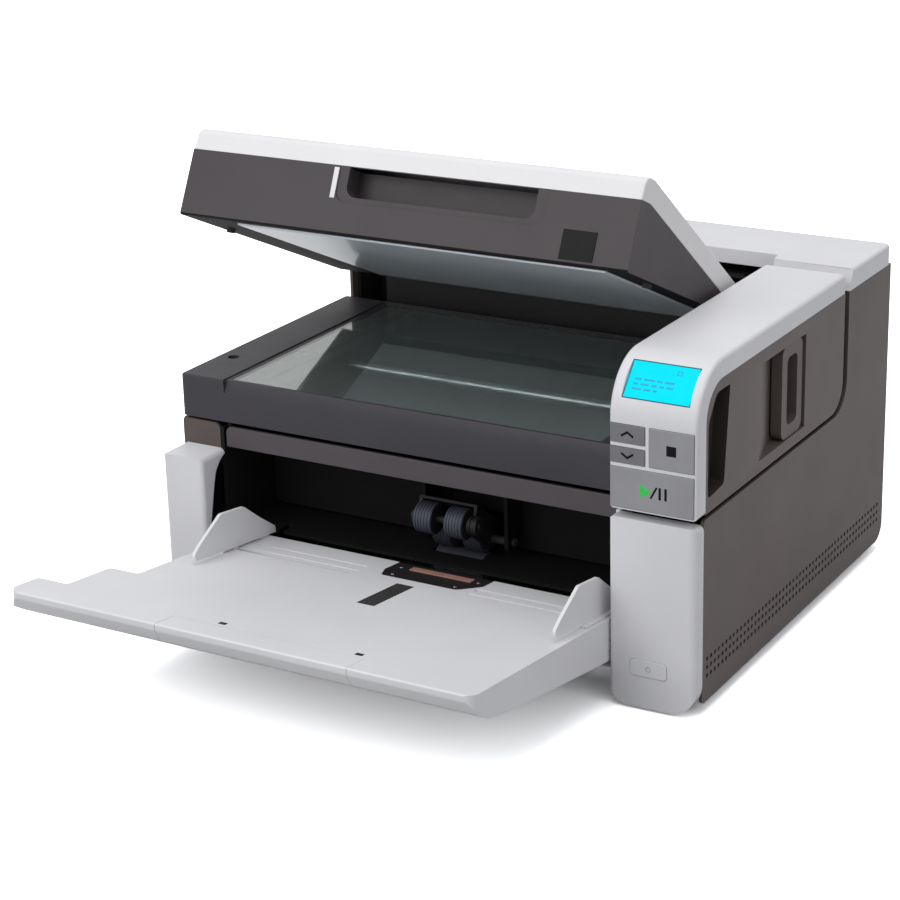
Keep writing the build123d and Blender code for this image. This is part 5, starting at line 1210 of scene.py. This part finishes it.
@dataclass
class Studio:
    """Pale floor, soft lamps and a white surround.

    Attributes:
        floor_m: half the floor's width.
        ambient: strength of the surround on the object.
        aim: what the lamps point at.
    """

    floor_m: float = 9.0
    ambient: float = 0.52
    aim: Triple = (0, 0, 0.12)

    def make(self) -> None:
        """Build the floor, the surround and the lamps."""
        Shaper.clear()
        bpy.ops.mesh.primitive_plane_add(size=2 * self.floor_m)
        floor = Shaper.settle(bpy.context.object, "floor")
        paper = StudioPaper("seamless_white_paper", "#989898", "#959595", patch_mm=900)
        floor.data.materials.append(paper.build())
        self.surround()
        self.lamp("key_lamp", place=(-0.8, -1.95, 1.35), size=1.5, power=22.0)
        self.lamp("top_lamp", place=(0.1, -0.1, 2.6), size=2.0, power=21.0)
        self.lamp("side_lamp", place=(1.9, -0.6, 0.9), size=1.2, power=3.4)

    def surround(self) -> None:
        """A surround that is white to the camera and softer as light."""
        world = bpy.data.worlds.new("studio_surround")
        bpy.context.scene.world = world
        world.use_nodes = True
        tree = world.node_tree
        tree.nodes.clear()
        ray = add_node(tree, "ShaderNodeLightPath")
        plain = ray.outputs["Is Camera Ray"]
        for kind in ("Glossy", "Transmission"):
            links = {0: plain, 1: ray.outputs[f"Is {kind} Ray"]}
            either = add_node(tree, "ShaderNodeMath", {"operation": "MAXIMUM"}, links)
            plain = either.outputs["Value"]
        white = {"Color": linear("#FFFFFF"), "Strength": 1.0}
        soft = {"Color": linear("#FAFBFF"), "Strength": self.ambient}
        seen = add_node(tree, "ShaderNodeBackground", white)
        felt = add_node(tree, "ShaderNodeBackground", soft)
        mix = add_node(tree, "ShaderNodeMixShader", None, {"Fac": plain})
        tree.links.new(felt.outputs["Background"], mix.inputs[1])
        tree.links.new(seen.outputs["Background"], mix.inputs[2])
        add_node(tree, "ShaderNodeOutputWorld", None, {"Surface": mix.outputs["Shader"]})

    def lamp(self, name: str, place: Sequence[float], size: float, power: float) -> None:
        """A square soft lamp that points at the scanner.

        Args:
            name: the lamp's name.
            place: where it stands.
            size: its side in metres.
            power: its power in watts.
        """
        data = bpy.data.lights.new(name, "AREA")
        data.size = size
        data.energy = power
        lamp = bpy.data.objects.new(name, data)
        bpy.context.scene.collection.objects.link(lamp)
        lamp.location = place
        way = Vector(self.aim) - Vector(place)
        lamp.rotation_euler = way.to_track_quat("-Z", "Y").to_euler()


@dataclass(frozen=True)
class PhotoCamera:
    """The photograph's camera, solved on the object's straight edges.

    Attributes:
        place: its position.
        azimuth: its bearing round the object, in degrees.
        elevation: its height above the horizon, in degrees.
        roll: its tilt about its own axis, in degrees.
        lens: its focal length in millimetres.
        sensor: width of its sensor in millimetres.
        shift: offset of the frame, as shares of its width.
        clip: nearest and farthest distance that it sees.
    """

    place: Triple = (0.8169, -1.3984, 0.7206)
    azimuth: float = 29.79
    elevation: float = 19.12
    roll: float = -1.17
    lens: float = 95.68
    sensor: float = 36.0
    shift: tuple[float, float] = (-0.0451, -0.0406)
    clip: tuple[float, float] = (0.05, 60.0)

    def make(self) -> None:
        """Add the camera and make it the scene's."""
        az, el, roll = (math.radians(a) for a in (self.azimuth, self.elevation, self.roll))
        back = Vector((math.sin(az) * math.cos(el), -math.cos(az) * math.cos(el), math.sin(el)))
        right = Vector((math.cos(az), math.sin(az), 0))
        up = back.cross(right)
        level = right * math.cos(roll) + up * math.sin(roll)
        upright = up * math.cos(roll) - right * math.sin(roll)
        data = bpy.data.cameras.new("photo_camera")
        data.lens = self.lens
        data.sensor_width = self.sensor
        data.shift_x, data.shift_y = self.shift
        data.clip_start, data.clip_end = self.clip
        camera = bpy.data.objects.new("photo_camera", data)
        bpy.context.scene.collection.objects.link(camera)
        turn = Matrix((level, upright, back)).transposed().to_4x4()
        camera.matrix_world = Matrix.Translation(self.place) @ turn
        bpy.context.scene.camera = camera


def main() -> None:
    """Build the camera, the studio and every part of the scanner."""
    logging.basicConfig(level=logging.INFO)
    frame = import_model()
    PhotoCamera().make()
    Studio().make()
    palette = Palette()
    for assembly in (Casing, Flatbed, ControlArm, Lid, Tray, FeedModule):
        LOG.info("dressing %s", assembly.__name__)
        assembly(frame, palette).make()
    bpy.context.scene.view_settings.view_transform = "Standard"


if __name__ == "__main__":
    main()
